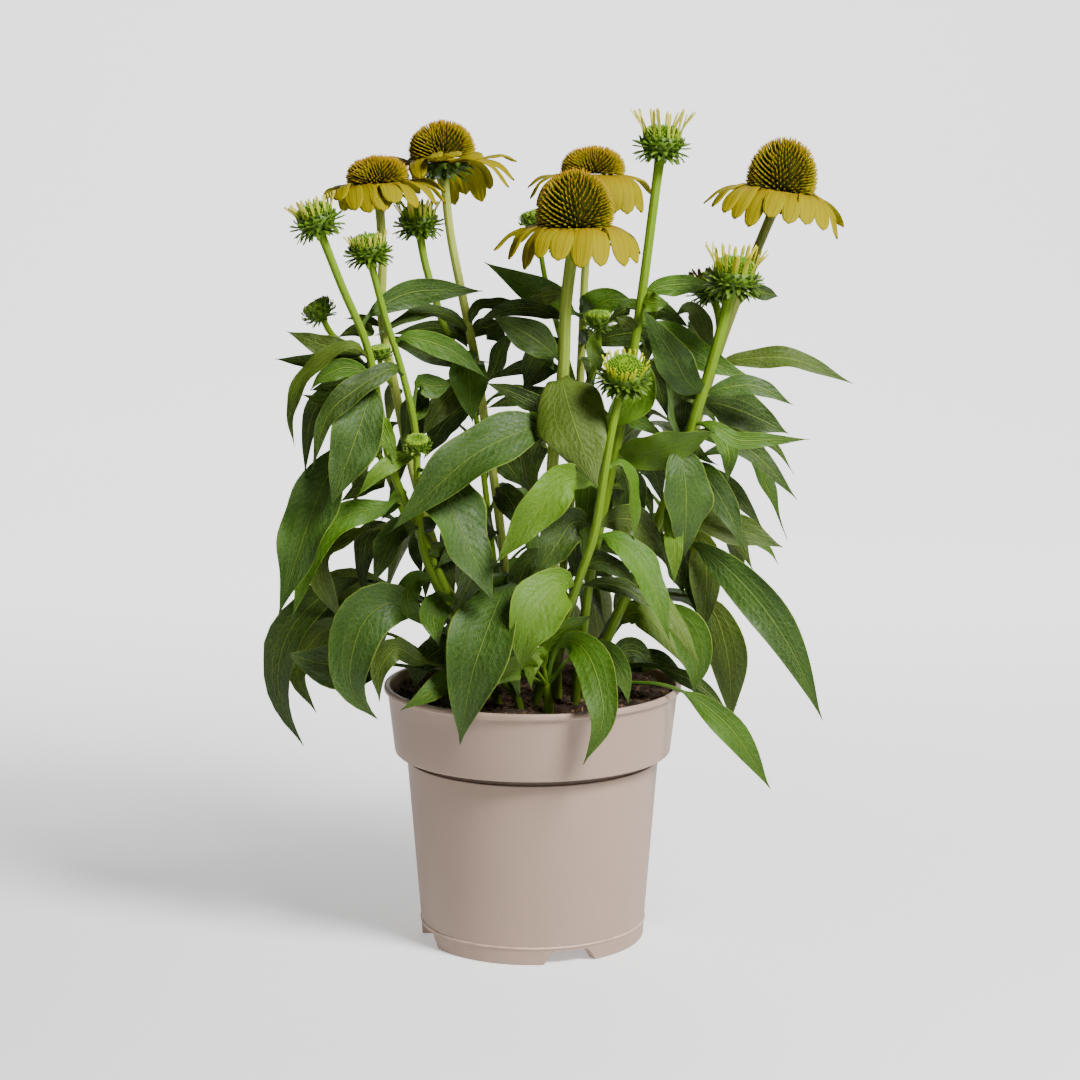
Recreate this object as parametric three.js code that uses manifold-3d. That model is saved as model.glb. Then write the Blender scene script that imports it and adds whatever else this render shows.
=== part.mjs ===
// A yellow coneflower (Echinacea) in its plastic nursery pot: five open blooms, seven buds with
// rays, leafy flowering stems, leafy shoots and basal leaves standing in a pot of peat.
// Millimetres, +Z up, the origin on the pot's axis at the plane that it stands on. The front is -Y.
//
// The plant is laid out on an upright board through the pot's axis, leaning back by TILT to face an
// eye at EYE. A place on the plant is [x, h, depth]: x and h are where the eye sees it on that
// board, and depth is its real y, negative towards the eye. place() turns it into a real point.
import * as THREE from "three";
import Module from "manifold-3d";
import { mergeVertices } from "three/addons/utils/BufferGeometryUtils.js";

// ---- driving dimensions ----
const EYE = [4.75, -1603, 514];
const TILT = THREE.MathUtils.degToRad(9.12);
const BOARD_CENTRE = 256.7; // height where the eye's axis meets the board

const POT = {
  height: 165, rim: 95, wall: 1.5, foot: 71.6, floor: 9, floorThickness: 2.5,
  shoulder: 80.6, shoulderZ: 121, collarLow: 88.4, collarLowZ: 123, collarTop: 92.7, collarTopZ: 160.5,
  pad: 22, padEdge: 24, footInner: 65, step: 1, sides: 28,
};
const NOTCH = { count: 4, first: -70.5, height: 8.5, lowHalf: 14, topHalf: 9 };
const DRAIN = { count: 5, radius: 5, ring: 44 };
const SOIL = { top: 157, bump: 2.2, gap: 0.4, edge: 0.76, sides: 14, rings: [30, 62] };
const STEM_FOOT_Z = 141; // how deep the stems stand in the soil
const STEM_NECK_Z = 163; // where they turn upright to go into it
const STEM_STEPS = 0.85; // straight lengths for each point of a stem's route
const GAP = 0.35; // between pieces that touch
const HEAD_ROOT = 5; // how far under a head's centre its stem ends

const LEAF = {
  thickness: 1.2, petiole: 1.5, fold: 0.24, outward: 0.3, small: 44, middling: 92, stalked: 0.29,
};
const PETAL = { thickness: 0.9, width: 12, layers: [-1.25, -1.85] };
const CLEARANCE = 2.6; // thickness of the copy that is tried for room
// How far a leaf is bent backwards or forwards to find room, by its tip.
const BENDS = [0, -6, 6, -12, 12, -20, 20, -30, 30, -42, 42, -56, 56];

// ---- the stems ----
// [name, stem that it belongs to, route from its head down, foot in the soil [x, y] or the height
//  where it joins its stem, radius at the head, radius at the foot]
const STEMS = [
  ["bloom1", "bloom1", [[-54.5, 484, 10], [-52, 450, 8], [-46, 420, 5], [-40.5, 390, 2], [-36, 370, 0],
    [-30, 330, 0], [-21, 270, -2], [-16, 215, -6]], [-14, -8], 2.2, 3.4],
  ["bloom2", "bloom2", [[-96, 470, -20], [-95, 440, -20], [-96.5, 415, -20], [-96, 400, -20],
    [-91, 368, -18], [-85, 345, -18], [-76, 300, -16], [-56, 235, -12]], [-31, -6], 2.2, 3.2],
  ["bloom3", "bloom3", [[24, 441, -60], [21.5, 412, -58], [20.5, 380, -53], [19, 360, -50],
    [15, 330, -45], [12, 298, -40], [13, 240, -30]], [15, -17], 3.8, 4],
  ["bloom4", "bloom4", [[36, 468, 30], [33.5, 430, 30], [32, 412, 30], [30, 350, 27], [24, 280, 22],
    [16, 210, 16]], [11, 13], 2, 3],
  ["bloom5", "bloom5", [[154, 464, -20], [146.5, 450, -20], [142, 440, -20], [131, 413, -20],
    [122, 388, -19], [114, 365, -16], [100, 318, -8], [80, 262, 0], [56, 215, 6]], [31, 13], 2.6, 3.2],
  ["bud1", "bud1", [[-134.5, 448, -60], [-122, 420, -58], [-113, 400, -56], [-106, 383, -54],
    [-98, 352, -50], [-95, 320, -46], [-82, 285, -42], [-58, 232, -36]], [-23, -31], 3.2, 3.4],
  ["bud2", "bud2", [[-102, 430, -50], [-94, 400, -50], [-86.5, 381, -50], [-79, 345, -50],
    [-74, 322, -50], [-71, 261, -50], [-61, 227, -50], [-38, 190, -49]], [-9, -45], 2.5, 3.4],
  ["bud5", "bud5", [[80.5, 500, -60], [78.5, 480, -60], [74, 450, -60], [70.5, 420, -59],
    [68, 400, -58], [64.5, 380, -56], [58, 340, -52], [48, 290, -44], [36, 230, -38]], [27, -33], 2.3, 3.2],
  ["bud6", "bud6", [[124, 412, -70], [122, 400, -70], [117, 380, -69], [112, 360, -67],
    [101, 330, -62], [86, 285, -52], [64, 232, -36]], [33, -12], 3.4, 3.4],
  ["bud8", "bud8", [[56, 350, -86], [53, 340, -87], [49, 318, -86], [46, 303, -84], [43.5, 285, -81],
    [39.7, 263, -76], [34.5, 246, -71], [28, 228, -64], [16, 195, -50]], [3, -31], 2.5, 3.3],
  ["bud4", "bloom1", [[-71.5, 452, 14], [-70, 440, 14], [-64.5, 420, 12], [-55, 390, 8]], 352, 1.7, 2.2],
  ["bud7", "bloom5", [[116, 405, 10], [119, 392, 2]], 374, 2.4, 2.4],
  ["bud3", "bud1", [[-133, 397, -24], [-128, 388, -28], [-114, 375, -42]], 360, 2, 2.2],
  ["bud9", "bloom4", [[42.5, 392, -10], [43, 378, -8]], 340, 2, 2.2],
  ["bud10", "bloom4", [[6.5, 452, 10], [8.5, 420, 12]], 345, 1.6, 2.2],
  ["bud11", "bloom2", [[-97, 372, -26], [-96.5, 366, -24]], 352, 1.6, 1.8],
  ["bud12", "bud2", [[-73, 315, -60], [-73, 313, -56]], 310, 1.6, 1.6],
  ["shoot1", "shoot1", [[-38, 352, 52], [-30, 290, 48], [-22, 225, 40]], [-12, 29], 1.8, 3],
  ["shoot2", "shoot2", [[62, 372, 48], [46, 300, 52], [28, 225, 48]], [15, 40], 1.8, 3],
  ["shoot3", "shoot3", [[-98, 312, 34], [-78, 265, 32], [-52, 215, 26]], [-35, 17], 1.8, 3],
  ["shoot4", "shoot4", [[104, 330, 36], [84, 270, 38], [58, 215, 36]], [37, 31], 1.8, 3],
  ["basal1", "basal1", [[-40, 172, -20]], [-37, -20], 5, 5],
  ["basal2", "basal2", [[9, 166, -56]], [10, -55], 5, 5],
  ["basal3", "basal3", [[44, 170, -14]], [45, -12], 5, 5],
  ["basal4", "basal4", [[-2, 186, 55]], [-2, 53], 5, 5],
];

// ---- the open blooms ----
// [stem, centre of the cone's base, lean [x, y], cone radius, cone height, reach of the petals,
//  petal tips [x, h, side], side -1 in front of the cone and 1 behind it]
const BLOOMS = [
  ["bloom1", [-57, 499, 10], [-0.04, 0.03], 19.5, 24, 48, [[-10, 496.5, 1], [-11.5, 484.5, -1],
    [-15, 480, -1], [-27, 479, 1], [-32, 471, 1], [-42, 475.5, 1], [-49, 469, 1], [-33, 498, -1],
    [-100, 496, 1], [-84, 490, 1], [-71, 486, -1], [-47, 500, -1], [-60, 499, -1], [-72, 482, 1]]],
  ["bloom2", [-98, 484, -20], [-0.06, -0.03], 18, 16.5, 45, [[-131, 472.5, 1], [-122, 472, -1],
    [-119, 465, 1], [-112, 465.5, -1], [-103, 464, -1], [-94, 465, -1], [-87.5, 470, -1],
    [-61, 469, -1], [-55, 470, 1], [-55, 477, 1], [-74, 467, -1], [-72, 476, 1], [-88, 479, 1],
    [-104, 478, 1]]],
  ["bloom3", [27, 456, -60], [0, -0.02], 22.5, 35, 52, [[-24.5, 440, 1], [-15, 434.5, -1],
    [-5, 428, -1], [4, 435, -1], [16, 433.5, -1], [30, 429, -1], [43, 430, -1],
    [58, 430, -1], [66, 432, -1], [68, 438, 1], [56, 444, 1], [34, 447, 1], [8, 446, 1],
    [-12, 444, 1]]],
  ["bloom4", [38.5, 489, 30], [0.02, 0], 19, 18, 44, [[-3, 480, 1], [-1.5, 473, -1], [3, 468.5, -1],
    [14, 466, -1], [27, 464, -1], [40, 463, -1], [52, 464, -1], [60, 463, -1], [69, 464, -1],
    [76, 475, 1], [66, 474, 1], [50, 477, 1], [32, 478, 1], [14, 477, 1]]],
  ["bloom5", [157, 479, -20], [0.16, -0.02], 20.5, 33, 51, [[108.5, 470, 1], [114, 468, -1],
    [121.5, 464, -1], [128, 460, -1], [137, 455, -1], [150, 461, -1], [162, 457, -1],
    [173, 456.5, -1], [184, 453, -1], [193, 447.5, -1], [197, 455, 1], [180, 464, 1], [158, 470, 1],
    [132, 473, 1]]],
];

// ---- the buds ----
// [stem, centre of the disc, lean [x, y], scale, length of the rays (0: still shut, no rays)]
const BUDS = [
  ["bud1", [-138, 462, -60], [-0.3, 0], 1.08, 9], ["bud2", [-104.5, 443, -50], [-0.12, -0.06], 0.98, 6],
  ["bud4", [-72.5, 461, 14], [-0.05, 0], 1.05, 9], ["bud5", [82, 511, -60], [0.06, 0], 1.12, 14],
  ["bud6", [128, 427, -70], [0.1, -0.14], 1.22, 12], ["bud7", [113, 419, 12], [-0.2, 0.1], 1.05, 9],
  ["bud8", [58.5, 364, -88], [0.08, -0.5], 1.1, 6], ["bud3", [-137, 404, -22], [-0.6, -0.12], 0.78, 0],
  ["bud9", [41.5, 398, -12], [0, -0.15], 0.7, 0], ["bud10", [1, 462, 10], [-0.3, 0], 0.75, 0],
  ["bud11", [-97, 377, -28], [-0.1, -0.1], 0.55, 0], ["bud12", [-73, 319, -66], [0, -0.4], 0.6, 0],
];

// ---- the leaves ----
// [stem, height where it leaves the stem, its midrib's places from there to the tip, width,
//  how far its face is turned to the eye (1) or up (0), share of the midrib that is bare petiole]
const LEAVES = [
  ["bud1", 354, [[-104, 345, -66], [-112, 322, -78], [-128, 278, -84]], 30, 0.85, 0.1],
  ["bud2", 361, [[-90, 365, -66], [-112, 352, -78], [-130, 335, -82], [-140, 300.5, -84]], 15, 0.75, 0.08],
  ["bud1", 372, [[-117, 380.5, -62], [-142, 362, -68], [-153, 338, -70], [-151, 316, -68]], 13, 0.5, 0.08],
  ["bud1", 391, [[-100, 402, -42], [-75, 414, -32], [-31, 414.5, -25]], 17, 0.85, 0.15],
  ["bud1", 374, [[-130, 379, -50], [-156, 389, -45]], 14, 0.85, 0.08],
  ["bud1", 368, [[-135, 369, -38], [-164, 371.5, -32]], 12, 0.7, 0.08],
  ["bloom2", 392, [[-108, 397, -8], [-119, 397, 0]], 6, 0.6, 0.08],
  ["bud1", 362, [[-118, 366, -60], [-133, 360, -62], [-141, 351.5, -62]], 12, 0.85, 0.1],
  ["bud1", 358, [[-125, 355, -50], [-141, 351.5, -46]], 11, 0.8, 0.08],
  ["bud1", 349, [[-125, 344, -42], [-147, 349, -38]], 10, 0.8, 0.08],
  ["bud1", 350, [[-125, 350, -32], [-140, 335, -32], [-144.5, 297, -32]], 12, 0.8, 0.1],
  ["bud1", 338, [[-97, 331, -60], [-92, 320, -66], [-86, 306.5, -68]], 13, 0.9, 0.1],
  ["bud2", 309, [[-85, 308, -62], [-98, 299, -70], [-111.5, 284, -72]], 11, 0.85, 0.08],
  ["bud2", 382, [[-78, 385, -52], [-52, 377, -50], [-29, 359.5, -48]], 14, 0.85, 0.08],
  ["bud2", 330, [[-75, 345, -44], [-72, 356, -42], [-64, 354, -42], [-50, 356, -40]], 15, 0.95, 0.5],
  ["bloom1", 352, [[-48, 352, -8], [-58, 342, -14], [-70, 322, -18]], 18, 0.95, 0.1],
  ["bloom1", 388, [[-52, 398, -6], [-72, 400, -18], [-100, 386, -34]], 12, 0.65, 0.08],
  ["bloom1", 366, [[-58, 372, -4], [-78, 380, -4], [-99, 387, 0]], 12, 0.7, 0.08],
  ["bloom1", 370, [[-40, 369, -14], [-40, 355, -22], [-38, 331, -24]], 23, 1, 0.1],
  ["bloom1", 391, [[-37, 402, -2], [-28, 406, -6], [-8, 406, -10], [0, 404, -10]], 9, 0.75, 0.1],
  ["bloom1", 384, [[-33, 391, 8], [-27, 392, 12], [-19, 396, 14]], 10, 0.95, 0.1],
  ["bloom1", 350, [[-24, 366, 4], [-20, 378, 4], [-10, 391, 2]], 11, 0.95, 0.2],
  ["bloom3", 336, [[5, 342, -50], [-12, 350, -50], [-30, 356.5, -48]], 12, 0.85, 0.08],
  ["bloom3", 317, [[4, 326, -58], [-8, 325, -70], [-42, 307, -88], [-90, 262, -98]], 34, 0.85, 0.12],
  ["bloom3", 358, [[19, 356, -62], [27, 328, -82], [41.6, 289, -90]], 42, 0.95, 0.06],
  ["bloom3", 369, [[8, 379, -56], [-5, 388, -58], [-26, 399, -56]], 20, 0.85, 0.12],
  ["bloom3", 384, [[8, 381, -42], [-1, 370, -40], [-6, 354, -40]], 14, 0.95, 0.1],
  ["bloom3", 414, [[10, 412, -54], [-3, 409, -56]], 11, 0.95, 0.1],
  ["bloom4", 398, [[16, 406, 0], [-6, 419, -20], [-31, 433, -26]], 20, 0.9, 0.15],
  ["bloom4", 400, [[38, 403, 10], [50, 409, 4], [66, 407, 0]], 20, 0.85, 0.1],
  ["bloom4", 378, [[50, 386, 20], [76, 388, 16], [96, 380, 12]], 15, 0.75, 0.1],
  ["bud9", 383, [[40, 376, -26], [43, 362, -30]], 16, 1, 0.1],
  ["bud5", 411, [[80, 417, -58], [98, 419, -52], [116, 418, -48]], 13, 0.85, 0.08],
  ["bud5", 390, [[60, 395, -64], [52.5, 398, -66]], 11, 0.95, 0.1],
  ["bud5", 408, [[77, 407, -66], [86.5, 407, -68]], 13, 1, 0.1],
  ["bud5", 372, [[70, 362, -52], [65, 345, -56], [43, 325, -58]], 26, 0.95, 0.1],
  ["bud5", 394, [[80, 391, -46], [94, 383, -46], [114, 369, -48], [141, 358.5, -50]], 17, 0.9, 0.12],
  ["bud5", 312, [[80, 314, -64], [116, 326, -76]], 25, 0.92, 0.06],
  ["bud5", 300, [[58, 298, -30], [62, 280, -28], [62, 252, -28]], 22, 0.95, 0.1],
  ["bud6", 349, [[98, 358, -80], [90, 372, -84], [70, 403, -88]], 24, 0.95, 0.06],
  ["bud6", 349, [[122, 353, -68], [142, 354, -68], [165.5, 342, -66]], 13, 0.85, 0.08],
  ["bud6", 343, [[118, 343, -54], [138, 336, -50], [162.5, 324, -46]], 24, 0.85, 0.06],
  ["bud6", 331, [[114, 329, -72], [130, 320, -74], [150, 320, -72], [176, 320.5, -68]], 10, 0.75, 0.08],
  ["bud6", 345, [[99, 352, -44], [97, 340, -40], [95, 318, -38]], 17, 0.95, 0.1],
  ["bud6", 316, [[93, 314, -78], [97, 290, -98], [96.6, 245.5, -102]], 31, 0.97, 0.08],
  ["bud6", 325, [[118, 322, -58], [124, 312, -60], [123.7, 293, -60]], 12, 0.95, 0.25],
  ["bud6", 322, [[120, 322, -44], [142, 310, -42], [168, 282, -40]], 14, 0.85, 0.1],
  ["bud6", 326, [[130, 325, -30], [152, 317, -28], [166, 298, -26]], 8, 0.7, 0.1],
  ["bud6", 285, [[88, 270, -62], [90, 250, -66], [89.5, 228, -66]], 12, 0.95, 0.1],
  ["bloom5", 368, [[132, 371, -20], [165, 371, -26], [204, 355.5, -30]], 14, 0.8, 0.06],
  ["bloom5", 404, [[138, 413, -22], [147, 413, -24], [156, 411, -24]], 10, 0.9, 0.45],
  ["bloom5", 374, [[110, 388, -26], [105, 401, -30], [98, 404, -34], [90, 398, -38]], 14, 0.95, 0.2],
  ["bloom5", 372, [[105, 386, -4], [98, 396, 0]], 16, 0.95, 0.1],
  ["bloom5", 304, [[108, 298, -38], [122, 278, -46], [135, 249, -50]], 18, 0.95, 0.15],
  ["bloom5", 308, [[115, 296, -22], [130, 284, -24], [146, 264, -26]], 13, 0.75, 0.15],
  ["bloom5", 268, [[105, 268, -8], [130, 263, -10], [159, 252, -12]], 22, 0.95, 0.2],
  ["bloom5", 290, [[118, 272, 4], [130, 256, 6], [140, 237, 6]], 14, 0.9, 0.2],
  ["bloom5", 278, [[125, 266, 18], [148, 252, 20], [156, 241, 20]], 10, 0.8, 0.3],
  ["bloom5", 252, [[100, 255, -22], [122, 240, -36], [146, 214, -46], [166, 183, -52], [184, 142, -54]],
    24, 0.92, 0.22],
  ["bloom5", 258, [[104, 256, -14], [110, 236, -22], [107.7, 195, -24]], 20, 0.95, 0.2],
  ["bloom5", 228, [[78, 222, -44], [92, 203, -56], [106.5, 175.5, -60]], 14, 0.95, 0.3],
  ["bloom5", 216, [[80, 212, -22], [97, 199, -32], [104, 180, -36], [102, 159, -36]], 26, 1, 0.35],
  ["bloom5", 222, [[90, 222, 0], [113, 214, -8], [124, 180, -14], [126, 140, -14]], 25, 1, 0.35],
  ["bloom5", 205, [[58, 208, -20], [67, 211, -26], [80, 200, -34], [95, 178, -40]], 16, 0.92, 0.2],
  ["bud8", 289, [[36, 293, -84], [22, 295, -90], [4, 276, -96], [-24, 241, -100]], 24, 0.93, 0.08],
  ["bud8", 302, [[57, 305, -76], [63, 290, -78], [65, 257, -80]], 14, 0.5, 0.15],
  ["bud8", 266, [[26, 268, -66], [14, 252, -72], [1, 233, -74]], 24, 0.93, 0.08],
  ["bud8", 255, [[46, 259, -76], [62, 249, -84], [77, 224, -92], [87, 193, -96]], 21, 0.88, 0.1],
  ["bud8", 264, [[52, 270, -62], [68, 266, -60], [85, 241, -58]], 18, 0.9, 0.1],
  ["bud8", 228, [[18, 229, -72], [6, 216, -86], [-4, 196, -94], [-8, 174, -94]], 34, 0.97, 0.06],
  ["bud8", 226, [[42, 229, -62], [60, 225, -66], [79, 212, -68]], 11, 0.85, 0.15],
  ["bud8", 238, [[42, 243, -48], [56, 237, -44], [66, 226, -42]], 14, 0.9, 0.1],
  ["bloom3", 250, [[0, 246, -34], [-8, 232, -38], [-12, 212, -38]], 15, 0.97, 0.1],
  ["bloom1", 262, [[-38, 258, -24], [-50, 250, -32], [-62, 238, -36]], 17, 0.97, 0.1],
  ["bloom1", 242, [[-34, 238, -34], [-44, 222, -48], [-52, 203, -54]], 15, 0.97, 0.15],
  ["bloom1", 236, [[-13, 231, -42], [-20, 221, -78], [-33, 188, -104], [-40, 164, -110],
    [-46, 126.5, -110]], 40, 0.97, 0.3],
  ["bloom1", 290, [[-16, 284, -18], [-8, 272, -24], [2, 260, -26]], 18, 0.95, 0.1],
  ["bud2", 302, [[-64, 298, -66], [-56, 287, -76], [-43, 258, -86], [-24, 216, -92]], 35, 0.97, 0.08],
  ["bud2", 264, [[-84, 264, -58], [-93, 248, -64], [-101, 229, -66]], 19, 0.97, 0.1],
  ["bud2", 232, [[-74, 231, -58], [-79, 218, -62], [-66, 200, -64]], 15, 0.95, 0.1],
  ["bud2", 219, [[-58, 217, -66], [-63, 207, -74], [-59, 189, -78]], 18, 0.97, 0.1],
  ["bud1", 318, [[-112, 312, -54], [-128, 300, -60], [-142, 268, -66], [-161, 208.5, -70]], 32, 0.93, 0.15],
  ["bud1", 285, [[-96, 277, -54], [-118, 272, -58], [-136, 254, -62], [-153, 206, -64]], 20, 0.88, 0.1],
  ["bud1", 270, [[-110, 262, -40], [-131, 251, -44], [-132, 228, -48], [-118, 202, -50]], 18, 0.95, 0.3],
  ["bud1", 262, [[-100, 263, -34], [-107, 245, -34], [-106, 218, -34]], 14, 0.97, 0.2],
  ["basal1", 168, [[-56, 200, -34], [-70, 210, -56], [-90, 217, -72], [-108, 203, -82], [-116, 172, -86],
    [-110, 155, -86], [-98, 143, -84]], 33, 1, 0.38],
  ["basal1", 168, [[-55, 210, -24], [-93, 228, -34], [-120, 229, -40], [-150, 205, -46], [-161, 176, -48],
    [-158, 150, -48], [-145, 126, -48]], 24, 1, 0.45],
  ["basal1", 165, [[-60, 173, -34], [-78, 176.5, -40], [-100, 178.5, -44], [-130, 178, -48],
    [-157, 185, -50]], 31, 1, 0.48],
  ["basal1", 168, [[-70, 185.5, -12], [-92, 197.5, -14], [-130, 200, -18], [-149, 174, -22],
    [-137, 147, -22]], 18, 1, 0.45],
  ["basal1", 168, [[-60, 213, -4], [-105, 229.5, 0], [-130, 226, -2], [-145, 212, -2], [-160, 193, -4]],
    19, 0.95, 0.5],
  ["basal1", 168, [[-50, 205, 6], [-95, 224, 10], [-128, 214, 8], [-137, 201, 6], [-147, 190, 6]],
    20, 0.95, 0.5],
  ["basal1", 165, [[-56, 176, -46], [-72, 181, -56], [-86, 188, -62], [-97, 174, -64], [-97, 154, -64]],
    15, 1, 0.45],
  ["basal1", 168, [[-50, 188, -26], [-60, 186, -32], [-71, 176, -36], [-74, 161, -36]], 20, 0.95, 0.3],
  ["basal2", 164, [[-14, 174, -66], [-48, 169, -76], [-66, 159, -84], [-84, 148.5, -86]], 17, 1, 0.35],
  ["basal2", 164, [[0, 176, -70], [-10, 177, -78], [-29, 163, -86]], 15, 1, 0.3],
  ["basal2", 164, [[5, 184, -66], [-1, 176, -74], [-1, 162, -76]], 11, 0.95, 0.3],
  ["basal2", 164, [[7, 186, -56], [20, 200, -62], [38, 209, -64]], 17, 1, 0.3],
  ["basal2", 164, [[14, 186, -58], [24, 193, -64], [35, 184, -78], [43, 162, -96], [44, 140, -104],
    [32, 114, -104]], 23, 0.92, 0.22],
  ["basal2", 164, [[24, 182, -52], [42, 187, -58], [56, 173, -66], [61, 152, -70]], 17, 0.97, 0.3],
  ["basal3", 166, [[60, 166, -34], [78, 165.5, -44], [92, 162, -48], [108, 153, -50], [128, 134, -52],
    [151, 98.5, -52]], 17, 0.95, 0.45],
  ["basal3", 166, [[56, 184, 4], [66, 186, 8], [77, 177, 8]], 17, 1, 0.35],
  ["basal3", 166, [[62, 178, 22], [80, 180, 28], [99, 168, 32]], 14, 0.97, 0.3],
  ["basal3", 166, [[70, 178, -18], [96, 170, -26], [112, 159, -28], [126, 144, -30]], 10, 0.9, 0.4],
];

// Where the eye doesn't reach, leaves spiral up their shoot: [shoot, number, turn of the first,
// lowest and highest height on the shoot, length low and high]
const SPIRALS = [
  ["shoot1", 8, 95, 190, 335, 112, 74], ["shoot2", 8, 60, 195, 352, 112, 70],
  ["shoot3", 6, 150, 190, 296, 104, 76], ["shoot4", 7, 20, 190, 315, 104, 76],
  ["basal4", 5, 20, 178, 184, 118, 104],
];
const SPIRAL = { turn: 137.5, rise: 0.36, drop: 0.42, share: 0.2, width: 0.21 };
// Turns that are tried for a spiral leaf, in degrees.
const TURNS = [0, 12, -12, 24, -24, 38, -38, 54, -54];

// ---- points, curves and closed meshes ----
const wasm = await Module();
wasm.setup();
const vec = (p) => new THREE.Vector3(...p);
const mix = (a, b, t) => a + (b - a) * t;

// The real point seen at x, h on the board, at a depth.
function place([x, h, depth]) {
  const v = h - BOARD_CENTRE;
  const board = [x, v * Math.sin(TILT), BOARD_CENTRE + v * Math.cos(TILT)];
  const t = (depth - EYE[1]) / (board[1] - EYE[1]);
  return vec([mix(EYE[0], board[0], t), depth, mix(EYE[2], board[2], t)]);
}

// The height on the board at which the eye sees a real point.
function seenHeight(p) {
  const away = (p.y - EYE[1]) * Math.cos(TILT) - (p.z - EYE[2]) * Math.sin(TILT);
  const above = (p.y - EYE[1]) * Math.sin(TILT) + (p.z - EYE[2]) * Math.cos(TILT);
  return BOARD_CENTRE + (above / away) * Math.hypot(EYE[1], EYE[2] - BOARD_CENTRE);
}

// A smooth curve through points, as steps + 1 points evenly spaced along it.
function smooth(points, steps) {
  const curve = new THREE.CatmullRomCurve3(points, false, "catmullrom", 0.5);
  return curve.getSpacedPoints(steps);
}

// A closed mesh from points and triangles, as a solid that can be joined and cut.
function solid(points, triangles) {
  const vertProperties = new Float32Array(points.flatMap((p) => [p.x, p.y, p.z]));
  const triVerts = new Uint32Array(triangles.flat());
  return new wasm.Manifold(new wasm.Mesh({ numProp: 3, vertProperties, triVerts }));
}

// A three.js geometry as such a solid.
function solidOf(geometry) {
  geometry.deleteAttribute("normal");
  geometry.deleteAttribute("uv");
  const merged = mergeVertices(geometry, 1e-3);
  return new wasm.Manifold(new wasm.Mesh({
    numProp: 3,
    vertProperties: new Float32Array(merged.attributes.position.array),
    triVerts: new Uint32Array(merged.index.array),
  }));
}

const joined = (solids) => solids.reduce((a, b) => a.add(b));

// A loft through rings of points, all with as many points, closed at both ends by flat fans.
function loft(rings) {
  const n = rings[0].length;
  const last = (rings.length - 1) * n;
  const triangles = [];
  for (let k = 0; k + 1 < rings.length; k++) {
    for (let j = 0; j < n; j++) {
      const a = k * n + j, b = k * n + ((j + 1) % n);
      triangles.push([a, b, b + n], [a, b + n, a + n]);
    }
  }
  for (let j = 1; j + 1 < n; j++) triangles.push([0, j + 1, j], [last, last + j, last + j + 1]);
  return solid(rings.flat(), triangles);
}

// A round stem along points, its radius going from first to last.
function tube(points, first, last, sides) {
  const rings = points.map((p, i) => {
    const before = points[Math.max(i - 1, 0)], after = points[Math.min(i + 1, points.length - 1)];
    const along = after.clone().sub(before).normalize();
    const right = vec([1, 0, 0]).addScaledVector(along, -along.x).normalize();
    const back = along.clone().cross(right);
    const radius = mix(first, last, i / (points.length - 1));
    return Array.from({ length: sides }, (_, j) => {
      const turn = (j / sides) * 2 * Math.PI;
      return p.clone().addScaledVector(right, radius * Math.cos(turn))
        .addScaledVector(back, radius * Math.sin(turn));
    });
  });
  return loft(rings);
}

// ---- leaves ----
const bladeShape = (s) => Math.sin(Math.PI * s ** 0.8) ** 0.85;

// A blade along a midrib: lens-shaped sections, folded up a little along the midrib, and a point.
function blade(midrib, width, bare, hint, thickness) {
  const length = midrib.slice(1).reduce((sum, p, i) => sum + p.distanceTo(midrib[i]), 0);
  const middle = length < LEAF.small ? [0.45] : length < LEAF.middling ? [0.3, 0.66] : [0.22, 0.5, 0.78];
  const stalk = bare < LEAF.stalked ? [0] : [0, bare];
  const shares = [...stalk, ...middle.map((s) => mix(bare, 1, s)), 1];
  const halves = [...stalk.map(() => LEAF.petiole), ...middle.map((s) => (width / 2) * bladeShape(s)), 0];
  const fine = smooth(midrib, 60);
  const at = (share) => fine[Math.round(share * 60)];
  const points = [];
  shares.slice(0, -1).forEach((share, k) => {
    const along = at(Math.min(share + 0.05, 1)).clone().sub(at(Math.max(share - 0.05, 0))).normalize();
    const across = hint.clone().cross(along).normalize();
    const up = along.clone().cross(across);
    const half = halves[k], rise = k < stalk.length ? 0 : half * LEAF.fold;
    const mid = at(share), thick = thickness / 2 + (k < stalk.length ? 0.5 : 0);
    points.push(
      mid.clone().addScaledVector(across, -half).addScaledVector(up, rise),
      mid.clone().addScaledVector(up, -thick),
      mid.clone().addScaledVector(across, half).addScaledVector(up, rise),
      mid.clone().addScaledVector(up, thick),
    );
  });
  points.push(at(1));
  const stations = shares.length - 1, tip = stations * 4;
  const triangles = [[0, 3, 1], [1, 3, 2]];
  for (let k = 0; k + 1 < stations; k++) {
    for (const [edge, face] of [[0, 1], [2, 1], [2, 3], [0, 3]]) {
      const e = k * 4 + edge, f = k * 4 + face;
      const pair = [[e, f, f + 4], [e, f + 4, e + 4]];
      const outward = edge === 0 ? face === 1 : face === 3;
      triangles.push(...(outward ? pair : pair.map(([a, b, c]) => [a, c, b])));
    }
  }
  for (let j = 0; j < 4; j++) triangles.push([tip - 4 + j, tip - 4 + ((j + 1) % 4), tip]);
  return solid(points, triangles);
}

// Which way a leaf faces: between up and the eye, and a little the way it grows.
function facing(midrib, face) {
  const out = midrib.at(-1).clone().sub(midrib[0]).setZ(0).normalize();
  return vec([0, -face, 1 - face]).addScaledVector(out, LEAF.outward).normalize();
}

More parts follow.
